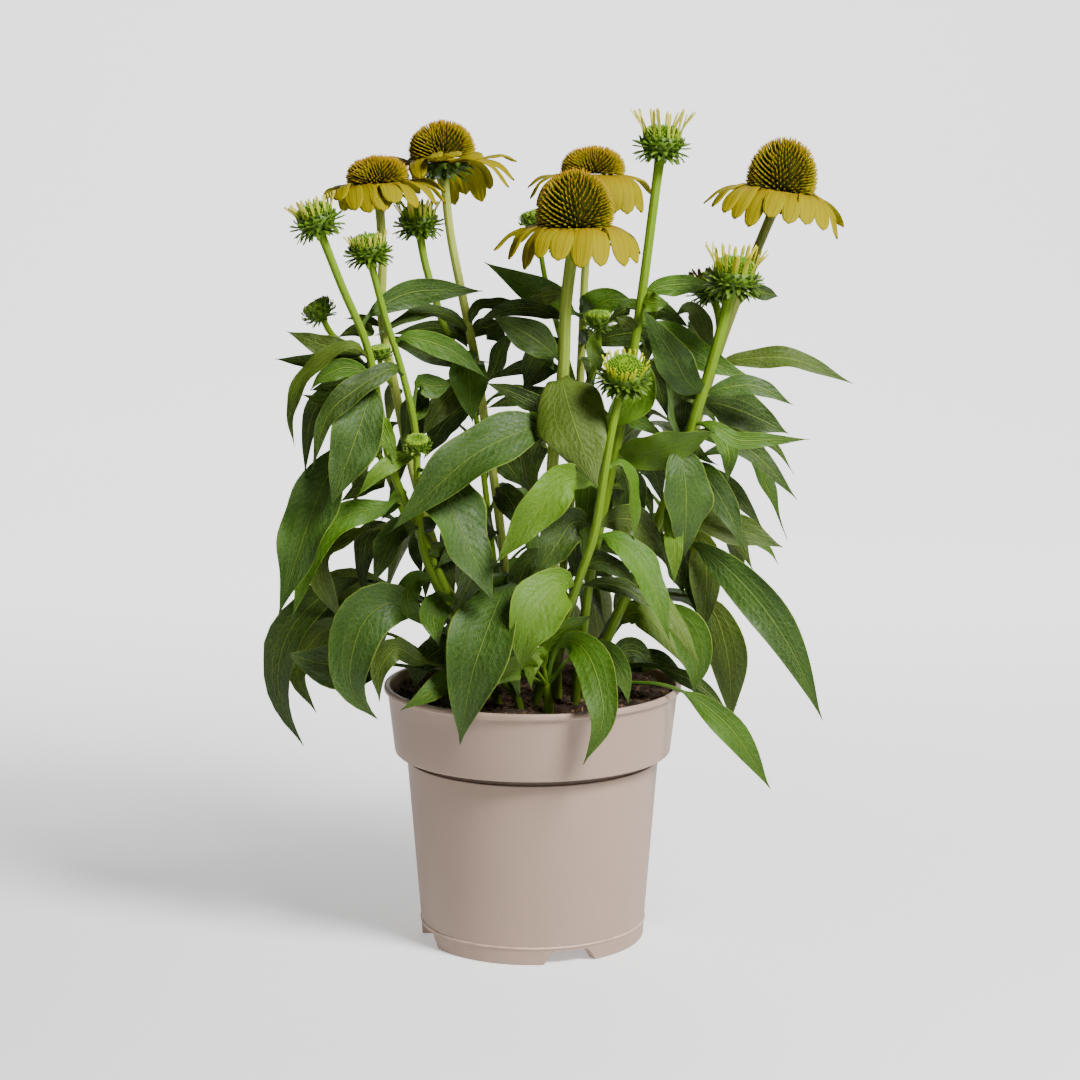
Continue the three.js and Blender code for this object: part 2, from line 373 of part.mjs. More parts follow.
// ---- flower heads ----
// A body of stacked rings [radius, height], each turned half a step from the last, whose diamond
// cells are raised to points: studs[k] is the point [radius, height] on ring k.
function studded(rings, studs, count, low, high) {
  const step = (2 * Math.PI) / count;
  const polar = ([r, z], turn) => vec([r * Math.cos(turn), r * Math.sin(turn), z]);
  const points = [], triangles = [];
  rings.forEach((ring, k) => {
    for (let j = 0; j < count; j++) points.push(polar(ring, (j + (k % 2) / 2) * step));
  });
  const vertex = (k, j) => k * count + ((j + count) % count);
  for (let k = 1; k + 1 < rings.length; k++) {
    for (let j = 0; j < count; j++) {
      const tip = points.push(polar(studs[k], (j + (k % 2) / 2 + 0.5) * step)) - 1;
      const left = vertex(k, j), right = vertex(k, j + 1);
      const under = vertex(k - 1, j + (k % 2)), over = vertex(k + 1, j + (k % 2));
      triangles.push([tip, under, right], [tip, right, over], [tip, over, left], [tip, left, under]);
    }
  }
  const bottom = points.push(vec([0, 0, low])) - 1, top = points.push(vec([0, 0, high])) - 1;
  const k = rings.length - 2;
  for (let j = 0; j < count; j++) {
    const under = vertex(0, j + 1), over = vertex(k + 1, j + (k % 2));
    triangles.push([bottom, vertex(1, j + 1), under], [bottom, under, vertex(1, j)]);
    triangles.push([top, over, vertex(k, j + 1)], [top, vertex(k, j), over]);
  }
  return solid(points, triangles);
}

// The cone of spines, standing on z = 0 about its own axis.
function cone(radius, height) {
  const count = 12, rows = 6;
  const rings = [], studs = [];
  for (let k = 0; k < rows; k++) {
    const turn = mix(-0.3, 1.36, k / (rows - 1));
    const r = radius * Math.cos(turn) ** 0.75, z = height * (0.3 + Math.sin(turn)) * 0.72;
    rings.push([r, z]);
    studs.push([r + 2.6 * Math.cos(turn), z + 2.6 * Math.sin(turn) + 0.8]);
  }
  return studded(rings, studs, count, 0.4, height * 0.97);
}

// The green cup of bracts under a bloom, its top just under the petals.
function involucre(radius, stem) {
  const rings = [[stem, -12], [radius * 0.62, -8.6], [radius * 0.86, -4], [radius * 0.5, -3]];
  const studs = [null, [radius * 0.84, -14], [radius * 1.02, -7]];
  return studded(rings, studs, 9, -12.4, -3);
}

// A bud's bracts and green disc in one, its disc's rim at z = 0, about its own axis.
function bud(scale, shut) {
  const disc = shut ? [[9, 0.6], [4, 3.2]] : [[9.3, 0.4], [8.8, 4.4], [4.8, 7.4]];
  const rings = [[2.6, -11.5], [8, -8.6], [11.4, -3], ...disc];
  const studs = [null, [13, -13.5], [16, -5], ...(shut ? [[11, 4.4]] : [[9.8, 0.9], [9.7, 5.4]])];
  const sized = (row) => row && row.map((value) => value * scale);
  const top = shut ? 4.2 : 8.3;
  return studded(rings.map(sized), studs.map(sized), shut ? 7 : 9, -11.8 * scale, top * scale);
}

// A ring of pale rays standing round a bud's disc.
function rays(scale, length) {
  const count = 10, step = (2 * Math.PI) / count;
  const inner = 10 * scale, outer = 11.4 * scale, low = 1.6 * scale, high = low + 1.2;
  const section = [[inner, low], [outer, low], [outer, high], [inner, high]];
  const points = [], triangles = [];
  for (let j = 0; j < count; j++) {
    for (const [r, z] of section) points.push(vec([r * Math.cos(j * step), r * Math.sin(j * step), z]));
  }
  for (let j = 0; j < count; j++) {
    const a = j * 4, b = ((j + 1) % count) * 4, turn = (j + 0.5) * step;
    for (const [p, q] of [[1, 0], [2, 1], [0, 3]]) {
      triangles.push([a + p, a + q, b + q], [a + p, b + q, b + p]);
    }
    const reach = outer + length * 0.4, tip = points.push(vec([
      reach * Math.cos(turn), reach * Math.sin(turn), high + length * (j % 2 ? 1 : 0.86)])) - 1;
    triangles.push([a + 3, a + 2, tip], [b + 3, a + 3, tip], [b + 2, b + 3, tip], [a + 2, b + 2, tip]);
  }
  return solid(points, triangles);
}

// A drooping petal from the ring to its notched tip.
function petal(route, axis, radial) {
  const fine = smooth(route, 40);
  const shares = [0, 16, 34], halves = [0.17, 0.42, 0.46];
  const points = [];
  const hint = axis.clone().addScaledVector(radial, 0.7).normalize();
  let along, across, up;
  shares.forEach((share, k) => {
    along = fine[Math.min(share + 2, 40)].clone().sub(fine[Math.max(share - 2, 0)]).normalize();
    across = hint.clone().cross(along).normalize();
    up = along.clone().cross(across);
    const half = halves[k] * PETAL.width;
    points.push(
      fine[share].clone().addScaledVector(across, -half),
      fine[share].clone().addScaledVector(up, -PETAL.thickness / 2),
      fine[share].clone().addScaledVector(across, half),
      fine[share].clone().addScaledVector(up, PETAL.thickness / 2),
    );
  });
  const tip = fine[40];
  points.push(
    tip.clone().addScaledVector(across, -2.6), tip.clone().addScaledVector(across, 2.6),
    tip.clone().addScaledVector(along, -1.5),
  );
  const triangles = [[0, 3, 1], [1, 3, 2]];
  for (let k = 0; k < 2; k++) {
    for (let j = 0; j < 4; j++) {
      const a = k * 4 + j, b = k * 4 + ((j + 1) % 4);
      triangles.push([a, b, b + 4], [a, b + 4, a + 4]);
    }
  }
  triangles.push([8, 9, 12], [9, 10, 13], [9, 14, 12], [9, 13, 14], [10, 11, 13], [11, 8, 12],
    [11, 12, 14], [11, 14, 13]);
  return solid(points, triangles);
}

// The flat ring that a bloom's petals grow from.
function petalRing(radius) {
  const [inner, outer, low, high] = [radius * 0.5, radius * 0.9, -2.4, -0.7];
  const count = 12, points = [], triangles = [];
  for (let j = 0; j < count; j++) {
    const turn = (j / count) * 2 * Math.PI;
    for (const [r, z] of [[inner, low], [outer, low], [outer, high], [inner, high]]) {
      points.push(vec([r * Math.cos(turn), r * Math.sin(turn), z]));
    }
    const a = j * 4, b = ((j + 1) % count) * 4;
    for (const [p, q] of [[1, 0], [2, 1], [3, 2], [0, 3]]) {
      triangles.push([a + p, a + q, b + q], [a + p, b + q, b + p]);
    }
  }
  return solid(points, triangles);
}

// Stands a head's solid at its centre, its axis leaning.
function stand(made, centre, [leanX, leanY]) {
  const turn = new THREE.Quaternion().setFromUnitVectors(vec([0, 0, 1]), vec([leanX, leanY, 1]).normalize());
  const matrix = new THREE.Matrix4().compose(centre, turn, vec([1, 1, 1]));
  return made.transform(matrix.elements);
}

// All the petals of a bloom, evenly rooted and fused to their ring, in two layers.
function petals([, place3, lean, radius, , reach, tips]) {
  const centre = place(place3), axis = vec([...lean, 1]).normalize();
  const right = vec([1, 0, 0]).addScaledVector(axis, -axis.x).normalize();
  const back = axis.clone().cross(right);
  const ends = tips.map(([x, h, side]) => {
    const droop = THREE.MathUtils.clamp((place3[1] - h) / 40, 0, 1);
    const ring = reach * (1 - 0.22 * droop);
    const tip = place([x, h, place3[2] + side * Math.sqrt(Math.max(ring ** 2 - (x - place3[0]) ** 2, 16))]);
    const out = tip.clone().sub(centre);
    return { tip, turn: Math.atan2(out.dot(back), out.dot(right)) };
  }).sort((a, b) => a.turn - b.turn);
  const step = (2 * Math.PI) / ends.length;
  const start = ends.reduce((sum, { turn }, i) => sum + turn - i * step, 0) / ends.length;
  const blades = ends.map(({ tip, turn }, i) => {
    const layer = PETAL.layers[i % 2], root = start + i * step;
    const radial = (angle) => right.clone().multiplyScalar(Math.cos(angle)).addScaledVector(back, Math.sin(angle));
    const on = (angle, r, z) => centre.clone().addScaledVector(radial(angle), r).addScaledVector(axis, z);
    const shoulder = on(mix(root, turn, 0.4), radius + 4, layer);
    const middle = shoulder.clone().lerp(tip, 0.5).addScaledVector(radial(turn), 2).addScaledVector(axis, 3);
    return petal([on(root, radius * 0.76, layer), shoulder, middle, tip], axis, radial(mix(root, turn, 0.6)));
  });
  return joined([stand(petalRing(radius), centre, lean), ...blades]);
}

// ---- pot and soil ----
function lathe(profile, sides) {
  const made = new THREE.LatheGeometry(profile.map(([r, z]) => new THREE.Vector2(r, z)), sides);
  return solidOf(made.rotateX(Math.PI / 2));
}

function pot() {
  const P = POT, inside = P.floor + P.floorThickness;
  const body = lathe([
    [0, 0], [P.pad, 0], [P.padEdge, P.floor], [P.footInner - 2, P.floor], [P.footInner, 0], [P.foot, 0],
    [P.shoulder, P.shoulderZ - 0.6], [P.collarLow - 1.6, P.shoulderZ], [P.collarLow, P.collarLowZ],
    [P.collarTop, P.collarTopZ], [P.rim, P.collarTopZ + 1.5], [P.rim, P.height],
    [P.collarTop - P.wall, P.height], [P.collarLow - P.wall, P.collarLowZ + P.step],
    [P.shoulder - P.wall, P.shoulderZ + P.step], [P.foot + 1 - P.wall, inside], [0, inside],
  ], P.sides);
  let made = body;
  for (let i = 0; i < NOTCH.count; i++) {
    made = made.subtract(notch(THREE.MathUtils.degToRad(NOTCH.first + (i * 360) / NOTCH.count)));
  }
  for (let i = 0; i < DRAIN.count; i++) {
    const turn = (i / DRAIN.count) * 2 * Math.PI;
    const hole = new THREE.CylinderGeometry(DRAIN.radius, DRAIN.radius, 30, 7).rotateX(Math.PI / 2);
    hole.translate(DRAIN.ring * Math.cos(turn), DRAIN.ring * Math.sin(turn), P.floor);
    made = made.subtract(solidOf(hole));
  }
  return made;
}

// A drainage notch through the foot, narrower at its top.
function notch(turn) {
  const wedge = (r, z, half) => [-half, half].map((side) => {
    const angle = turn + THREE.MathUtils.degToRad(side);
    return vec([r * Math.cos(angle), r * Math.sin(angle), z]);
  });
  const near = POT.footInner - 6, far = POT.foot + 9;
  const ring = (z, half) => {
    const [a, b] = wedge(near, z, half), [d, c] = wedge(far, z, half);
    return [a, d, c, b];
  };
  return loft([ring(-1, NOTCH.lowHalf), ring(NOTCH.height, NOTCH.topHalf)]);
}

// The height of the lumpy soil at a place.
function soilHeight(x, y) {
  const lumps = Math.sin(x * 0.19 + 1.3) * Math.cos(y * 0.23 + 0.4) + 0.6 * Math.sin(x * 0.11 - y * 0.31);
  return SOIL.top + SOIL.bump * 0.6 * lumps;
}

function soil(feet) {
  const S = SOIL, P = POT, points = [], triangles = [], n = S.sides;
  const wall = P.wall + S.gap, inside = P.floor + P.floorThickness + S.gap;
  const step = P.step + S.gap;
  const side = [
    [P.foot + 1 - wall, inside],
    [P.shoulder - wall, P.shoulderZ + step],
    [P.collarLow - wall, P.collarLowZ + step],
  ];
  const edge = mix(P.collarLow, P.collarTop, S.edge) - wall;
  const turn = (j) => ((j % n) / n) * 2 * Math.PI;
  const ring = (r, z) => {
    for (let j = 0; j < n; j++) {
      const [x, y] = [r * Math.cos(turn(j)), r * Math.sin(turn(j))];
      points.push(vec([x, y, z ?? soilHeight(x, y)]));
    }
  };
  side.forEach(([r, z]) => ring(r, z));
  [edge, ...S.rings.toReversed()].forEach((r) => ring(r));
  const rings = points.length / n;
  for (let k = 0; k + 1 < rings; k++) {
    for (let j = 0; j < n; j++) {
      const a = k * n + j, b = k * n + ((j + 1) % n);
      triangles.push([a, b, b + n], [a, b + n, a + n]);
    }
  }
  const bottom = points.push(vec([0, 0, inside])) - 1;
  const top = points.push(vec([0, 0, soilHeight(0, 0)])) - 1;
  for (let j = 0; j < n; j++) {
    const next = (j + 1) % n, last = (rings - 1) * n;
    triangles.push([bottom, next, j], [top, last + j, last + next]);
  }
  return feet.reduce((made, foot) => made.subtract(foot), solid(points, triangles));
}

// ---- the plant ----
const lines = {}; // each stem's centre line, from the head down
for (const [name, parent, route, end] of STEMS) {
  const head = [...BLOOMS, ...BUDS].find((row) => row[0] === name);
  const top = route.map(place);
  if (head) top.unshift(place(head[1]).addScaledVector(vec([...head[2], 1]).normalize(), -HEAD_ROOT));
  const low = Array.isArray(end) ? vec([...end, STEM_NECK_Z]) : onStem(parent, end);
  lines[name] = smooth([...top, low], Math.max(2, Math.ceil(top.length * STEM_STEPS)));
  if (Array.isArray(end)) lines[name].push(vec([...end, STEM_FOOT_Z]));
}

// The point of a stem's centre line that is seen at a height.
function onStem(name, height) {
  const line = lines[name];
  const heights = line.map(seenHeight);
  const i = Math.min(Math.max(heights.findIndex((h) => h < height), 1), line.length - 1);
  const t = THREE.MathUtils.clamp((heights[i - 1] - height) / (heights[i - 1] - heights[i]), 0, 1);
  return line[i - 1].clone().lerp(line[i], t);
}

// What stands already: { node, made, box, leaf }, so that a leaf can be bent clear of it.
const standing = [];
function settle(node, made, leaf = false) {
  const { min, max } = made.boundingBox();
  standing.push({ node, made, leaf, box: new THREE.Box3(vec(min), vec(max)) });
}

function meets(node, made, ownLeaves) {
  const { min, max } = made.boundingBox();
  const box = new THREE.Box3(vec(min), vec(max));
  return standing.some((other) => {
    if (other.node === node && !(ownLeaves && other.leaf)) return false;
    if (!other.box.intersectsBox(box)) return false;
    return other.made.intersect(made).volume() > (other.node === node ? 40 : 0.001);
  });
}

// Bends a leaf until it has room, and lets it grow there. Its ways are tried in order, first clear
// of its own stem's other leaves too.
function grow(node, ways) {
  for (const ownLeaves of [true, false]) {
    for (const { midrib, width, bare, hint } of ways) {
      if (meets(node, blade(midrib, width + 1.5, bare, hint, CLEARANCE), ownLeaves)) continue;
      settle(node, blade(midrib, width, bare, hint, LEAF.thickness), true);
      return;
    }
  }
}

const nodeOf = Object.fromEntries(STEMS.map(([name, parent]) => [name, parent]));
const petalNodes = [], coneNodes = [], rayNodes = [];
const potSolid = pot();
const sides = (name) => (name.startsWith("basal") ? 7 : 5);
for (const [name, parent, , , first, last] of STEMS) settle(parent, tube(lines[name], first, last, sides(name)));
const feet = STEMS.filter(([, , , end]) => Array.isArray(end)).map(([name, , , [x, y], , radius]) => (
  tube([vec([x, y, STEM_NECK_Z]), vec([x, y, STEM_FOOT_Z - GAP])], radius + GAP, radius + GAP, sides(name))));
const soilSolid = soil(feet);
settle("pot", potSolid);
settle("soil", soilSolid);
for (const bloom of BLOOMS) {
  const [name, place3, lean, radius, height] = bloom;
  const centre = place(place3);
  settle(name, stand(involucre(radius, 3), centre, lean));
  petalNodes.push([name, petals(bloom)]);
  coneNodes.push([name, stand(cone(radius, height), centre, lean)]);
  settle(name + "_petals", petalNodes.at(-1)[1]);
  settle(name + "_cone", coneNodes.at(-1)[1]);
}
for (const [name, place3, lean, scale, length] of BUDS) {
  const centre = place(place3);
  settle(nodeOf[name], stand(bud(scale, !length), centre, lean));
  if (!length) continue;
  rayNodes.push([name, stand(rays(scale, length), centre, lean)]);
  settle(name + "_rays", rayNodes.at(-1)[1]);
}

for (const [name, height, places, width, face, bare] of LEAVES) {
  const root = onStem(name, height);
  grow(nodeOf[name], BENDS.map((bend) => {
    const midrib = [root, ...places.map(([x, h, depth], i) => (
      place([x, h, depth + (bend * (i + 1)) / places.length])))];
    return { midrib, width, bare, hint: facing(midrib, face) };
  }));
}

for (const [name, count, first, low, high, longest, shortest] of SPIRALS) {
  for (let i = 0; i < count; i++) {
    const share = count > 1 ? i / (count - 1) : 0;
    const root = onStem(name, mix(low, high, share));
    const length = mix(longest, shortest, share) * (1 + 0.1 * Math.sin(i * 2.4 + first));
    grow(name, TURNS.map((more) => {
      const turn = THREE.MathUtils.degToRad(first + i * SPIRAL.turn + more);
      const out = vec([Math.cos(turn), Math.sin(turn), 0]);
      const on = (along, up) => root.clone().addScaledVector(out, along * length).add(vec([0, 0, up * length]));
      const midrib = [root, on(0.22, SPIRAL.rise * 0.6), on(0.55, SPIRAL.rise * 0.55), on(0.84, -SPIRAL.drop)];
      const hint = vec([0, 0, 0.75]).addScaledVector(out, 0.6).normalize();
      return { midrib, width: length * SPIRAL.width, bare: SPIRAL.share, hint };
    }));
  }
}

// ---- the scene graph ----
const group = new THREE.Group();
const paint = (colour, roughness) => new THREE.MeshStandardMaterial({ color: colour, roughness, metalness: 0 });
const LEAF_GREEN = paint(0x3f6b22, 0.55);
const PETAL_YELLOW = paint(0xf7cf10, 0.6);
const CONE_AMBER = paint(0xc98a1c, 0.6);
const RAY_CREAM = paint(0xe3e08a, 0.6);

function add(name, made, material) {
  const { vertProperties, triVerts } = made.getMesh();
  const geometry = new THREE.BufferGeometry();
  geometry.setAttribute("position", new THREE.BufferAttribute(new Float32Array(vertProperties), 3));
  geometry.setIndex(new THREE.BufferAttribute(new Uint32Array(triVerts), 1));
  const mesh = new THREE.Mesh(geometry, material);
  mesh.name = name;
  group.add(mesh);
}

add("pot", potSolid, paint(0xb8a79a, 0.6));
add("potting_soil", soilSolid, paint(0x35261c, 0.95));
for (const name of new Set(Object.values(nodeOf))) {
  const pieces = standing.filter(({ node }) => node === name).map(({ made }) => made);
  add(name + "_leafy", joined(pieces), LEAF_GREEN);
}
petalNodes.forEach(([name, made]) => add(name + "_petals", made, PETAL_YELLOW));
coneNodes.forEach(([name, made]) => add(name + "_cone", made, CONE_AMBER));
rayNodes.forEach(([name, made]) => add(name + "_rays", made, RAY_CREAM));

export default group;
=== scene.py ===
"""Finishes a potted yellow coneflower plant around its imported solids.

Every leaf, stem, petal, cone and bud stands where its solid stands and gets its real surface: thin
veined blades, grooved petals, spiralling spines, hairs, crumbly soil and a moulded pot.
Lengths are millimetres in the layout and metres in the meshes.
"""

import math
import random

import bpy
import numpy as np
from bpy.props import FloatProperty, FloatVectorProperty, IntProperty, PointerProperty
from mathutils import Matrix, Vector, kdtree


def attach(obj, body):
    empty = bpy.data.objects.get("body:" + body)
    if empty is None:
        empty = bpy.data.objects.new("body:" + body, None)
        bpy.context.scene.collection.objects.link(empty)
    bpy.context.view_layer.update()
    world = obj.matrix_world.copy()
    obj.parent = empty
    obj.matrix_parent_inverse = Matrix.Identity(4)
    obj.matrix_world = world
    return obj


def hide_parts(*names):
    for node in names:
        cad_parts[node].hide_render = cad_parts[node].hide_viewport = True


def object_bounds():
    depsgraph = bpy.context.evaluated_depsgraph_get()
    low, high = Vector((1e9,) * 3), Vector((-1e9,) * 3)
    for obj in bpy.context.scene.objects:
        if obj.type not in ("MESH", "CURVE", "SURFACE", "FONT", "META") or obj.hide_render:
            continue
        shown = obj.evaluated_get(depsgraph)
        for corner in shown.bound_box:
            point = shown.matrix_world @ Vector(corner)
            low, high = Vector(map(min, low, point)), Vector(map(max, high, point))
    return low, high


bl_info = {
    "name": "Potted coneflower",
    "version": (1, 0, 0),
    "blender": (4, 5, 0),
    "location": "View3D > Sidebar > Coneflower",
    "description": "Builds the surfaces of a potted yellow coneflower around its solids",
    "category": "Add Mesh",
}

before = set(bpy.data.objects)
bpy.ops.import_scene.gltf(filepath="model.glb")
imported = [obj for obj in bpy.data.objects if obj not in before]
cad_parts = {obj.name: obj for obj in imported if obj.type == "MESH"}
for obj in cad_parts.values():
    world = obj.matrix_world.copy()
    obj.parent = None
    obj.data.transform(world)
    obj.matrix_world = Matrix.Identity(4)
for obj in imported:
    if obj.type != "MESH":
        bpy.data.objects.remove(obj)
CAD_BOX = [list(corner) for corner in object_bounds()]
INSET = 1e-4  # metres that the pieces stay inside the CAD box
BOX = (np.array((*CAD_BOX[0][:2], -1.0)) + INSET, np.array(CAD_BOX[1]) - INSET)  # open downwards
MM = 0.001

# ---- the layout, as in the solids ----
# The plant is laid out on an upright board through the pot's axis, leaning back by TILT to face an
# eye at EYE. A place is (x, h, depth): where the eye sees it on the board, and its real y.
EYE = np.array((4.75, -1603.0, 514.0))
TILT = math.radians(9.12)
BOARD_CENTRE = 256.7
NECK_Z, FOOT_Z, SOIL_TOP = 163.0, 141.0, 157.0  # heights where stems turn upright and end, and the soil's
STEM_STEPS = 0.85  # straight lengths of a stem's solid for each of its places
HEAD_ROOT = 5.0  # how far under a head's middle its stem ends
BENDS = (0, -6, 6, -12, 12, -20, 20, -30, 30, -42, 42, -56, 56)  # shifts of a leaf's tip, tried in turn
TURNS = (0, 12, -12, 24, -24, 38, -38, 54, -54)  # turns of a spiral leaf, tried in turn
NEAR = 0.15  # a leaf stands where a point of its solid is this near its tip
GOLDEN_TURN = 137.5
UNDER = 1.05  # how much lower the tone of a blade's lower face is
CURVE_SAMPLES = 401  # places at which the length of a curve is measured
HALF_TURN = 3.14159  # in radians, as the trees and finishes have it

# The stems: name, stem it belongs to, route from its head down, foot in the soil (x, y) or the
# height where it joins its stem, radius at the head, radius at the foot.
STEMS = (
    ("bloom1", "bloom1", [[-54.5, 484, 10], [-52, 450, 8], [-46, 420, 5], [-40.5, 390, 2], [-36, 370, 0],
     [-30, 330, 0], [-21, 270, -2], [-16, 215, -6]], [-14, -8], 2.8, 3.2),
    ("bloom2", "bloom2", [[-96, 470, -20], [-95, 440, -20], [-96.5, 415, -20], [-96, 400, -20],
     [-91, 368, -18], [-85, 345, -18], [-76, 300, -16], [-56, 235, -12]], [-31, -6], 2.9, 3.1),
    ("bloom3", "bloom3", [[24, 441, -60], [21.5, 412, -58], [20.5, 380, -53], [19, 360, -50], [15, 330, -45],
     [12, 298, -40], [13, 240, -30]], [15, -17], 3.8, 4),
    ("bloom4", "bloom4", [[36, 468, 30], [33.5, 430, 30], [32, 412, 30], [30, 350, 27], [24, 280, 22],
     [16, 210, 16]], [11, 13], 2.6, 3),
    ("bloom5", "bloom5", [[154, 464, -20], [146.5, 450, -20], [142, 440, -20], [131, 413, -20],
     [122, 388, -19], [114, 365, -16], [100, 318, -8], [80, 262, 0], [56, 215, 6]], [31, 13], 3.0, 3.2),
    ("bud1", "bud1", [[-134.5, 448, -60], [-122, 420, -58], [-113, 400, -56], [-106, 383, -54],
     [-98, 352, -50], [-95, 320, -46], [-82, 285, -42], [-58, 232, -36]], [-23, -31], 2.6, 3.1),
    ("bud2", "bud2", [[-102, 430, -50], [-94, 400, -50], [-86.5, 381, -50], [-79, 345, -50], [-74, 322, -50],
     [-71, 261, -50], [-61, 227, -50], [-38, 190, -49]], [-9, -45], 2.2, 2.8),
    ("bud5", "bud5", [[80.5, 500, -60], [78.5, 480, -60], [74, 450, -60], [70.5, 420, -59], [68, 400, -58],
     [64.5, 380, -56], [58, 340, -52], [48, 290, -44], [36, 230, -38]], [27, -33], 2.9, 3.2),
    ("bud6", "bud6", [[124, 412, -70], [122, 400, -70], [117, 380, -69], [112, 360, -67], [101, 330, -62],
     [86, 285, -52], [64, 232, -36]], [33, -12], 3.4, 3.4),
    ("bud8", "bud8", [[56, 350, -86], [53, 340, -87], [49, 318, -86], [46, 303, -84], [43.5, 285, -81],
     [39.7, 263, -76], [34.5, 246, -71], [28, 228, -64], [16, 195, -50]], [3, -31], 2.5, 3.3),
    ("bud4", "bloom1", [[-71.5, 452, 14], [-70, 440, 14], [-64.5, 420, 12], [-55, 390, 8]], 352, 2.5, 2.6),
    ("bud7", "bloom5", [[116, 405, 10], [119, 392, 2]], 374, 2.4, 2.4),
    ("bud3", "bud1", [[-133, 397, -24], [-128, 388, -28], [-114, 375, -42]], 360, 2, 2.2),
    ("bud9", "bloom4", [[42.5, 392, -10], [43, 378, -8]], 340, 2, 2.2),
    ("bud10", "bloom4", [[6.5, 452, 10], [8.5, 420, 12]], 345, 1.6, 2.2),
    ("bud11", "bloom2", [[-97, 372, -26], [-96.5, 366, -24]], 352, 1.6, 1.8),
    ("bud12", "bud2", [[-73, 315, -60], [-73, 313, -56]], 310, 1.6, 1.6),
    ("shoot1", "shoot1", [[-38, 352, 52], [-30, 290, 48], [-22, 225, 40]], [-12, 29], 1.8, 3),
    ("shoot2", "shoot2", [[62, 372, 48], [46, 300, 52], [28, 225, 48]], [15, 40], 1.8, 3),
    ("shoot3", "shoot3", [[-98, 312, 34], [-78, 265, 32], [-52, 215, 26]], [-35, 17], 1.8, 3),
    ("shoot4", "shoot4", [[104, 330, 36], [84, 270, 38], [58, 215, 36]], [37, 31], 1.8, 3),
    ("basal1", "basal1", [[-40, 172, -20]], [-37, -20], 2, 5),
    ("basal2", "basal2", [[9, 166, -56]], [10, -55], 2, 5),
    ("basal3", "basal3", [[44, 170, -14]], [45, -12], 2, 5),
    ("basal4", "basal4", [[-2, 186, 55]], [-2, 53], 2, 5),
)

# The open blooms: stem, middle of the cone's base, lean (x, y), cone radius, cone height, reach of
# the petals, petal tips (x, h, side), side -1 in front of the cone and 1 behind it.
BLOOMS = (
    ("bloom1", [-57, 499, 10], [-0.04, 0.03], 19.5, 24, 48, [[-10, 496.5, 1], [-11.5, 484.5, -1],
     [-15, 480, -1], [-27, 479, 1], [-32, 471, 1], [-42, 475.5, 1], [-49, 469, 1], [-33, 498, -1],
     [-100, 496, 1], [-84, 490, 1], [-71, 486, -1], [-47, 500, -1], [-60, 499, -1], [-72, 482, 1]]),
    ("bloom2", [-98, 484, -20], [-0.06, -0.03], 18, 16.5, 45, [[-131, 472.5, 1], [-122, 472, -1],
     [-119, 465, 1], [-112, 465.5, -1], [-103, 464, -1], [-94, 465, -1], [-87.5, 470, -1], [-61, 469, -1],
     [-55, 470, 1], [-55, 477, 1], [-74, 467, -1], [-72, 476, 1], [-88, 479, 1], [-104, 478, 1]]),
    ("bloom3", [27, 456, -60], [0, -0.02], 22.5, 35, 52, [[-24.5, 440, 1], [-15, 434.5, -1], [-5, 428, -1],
     [4, 435, -1], [16, 433.5, -1], [30, 429, -1], [43, 430, -1], [58, 430, -1], [66, 432, -1], [68, 438, 1],
     [56, 444, 1], [34, 447, 1], [8, 446, 1], [-12, 444, 1]]),
    ("bloom4", [38.5, 489, 30], [0.02, 0], 19, 18, 44, [[-3, 480, 1], [-1.5, 473, -1], [3, 468.5, -1],
     [14, 466, -1], [27, 464, -1], [40, 463, -1], [52, 464, -1], [60, 463, -1], [69, 464, -1], [76, 475, 1],
     [66, 474, 1], [50, 477, 1], [32, 478, 1], [14, 477, 1]]),
    ("bloom5", [157, 479, -20], [0.16, -0.02], 20.5, 33, 51, [[108.5, 470, 1], [114, 468, -1],
     [121.5, 464, -1], [128, 460, -1], [137, 455, -1], [150, 461, -1], [162, 457, -1], [173, 456.5, -1],
     [184, 453, -1], [193, 447.5, -1], [197, 455, 1], [180, 464, 1], [158, 470, 1], [132, 473, 1]]),
)

# The buds: stem, middle of the disc, lean (x, y), scale, length of the rays (0: still shut).
BUDS = (
    ("bud1", [-138, 462, -60], [-0.3, 0], 1.08, 9),
    ("bud2", [-104.5, 443, -50], [-0.12, -0.06], 0.98, 6),
    ("bud4", [-72.5, 461, 14], [-0.05, 0], 1.05, 9),
    ("bud5", [82, 511, -60], [0.06, 0], 1.12, 16),
    ("bud6", [128, 427, -70], [0.1, -0.14], 1.22, 12),
    ("bud7", [113, 419, 12], [-0.2, 0.1], 1.05, 9),
    ("bud8", [58.5, 364, -88], [0.08, -0.5], 1.1, 6),
    ("bud3", [-137, 404, -22], [-0.6, -0.12], 0.78, 0),
    ("bud9", [41.5, 398, -12], [0, -0.15], 0.7, 0),
    ("bud10", [1, 462, 10], [-0.3, 0], 0.75, 0),
    ("bud11", [-97, 377, -28], [-0.1, -0.1], 0.55, 0),
    ("bud12", [-73, 319, -66], [0, -0.4], 0.6, 0),
)

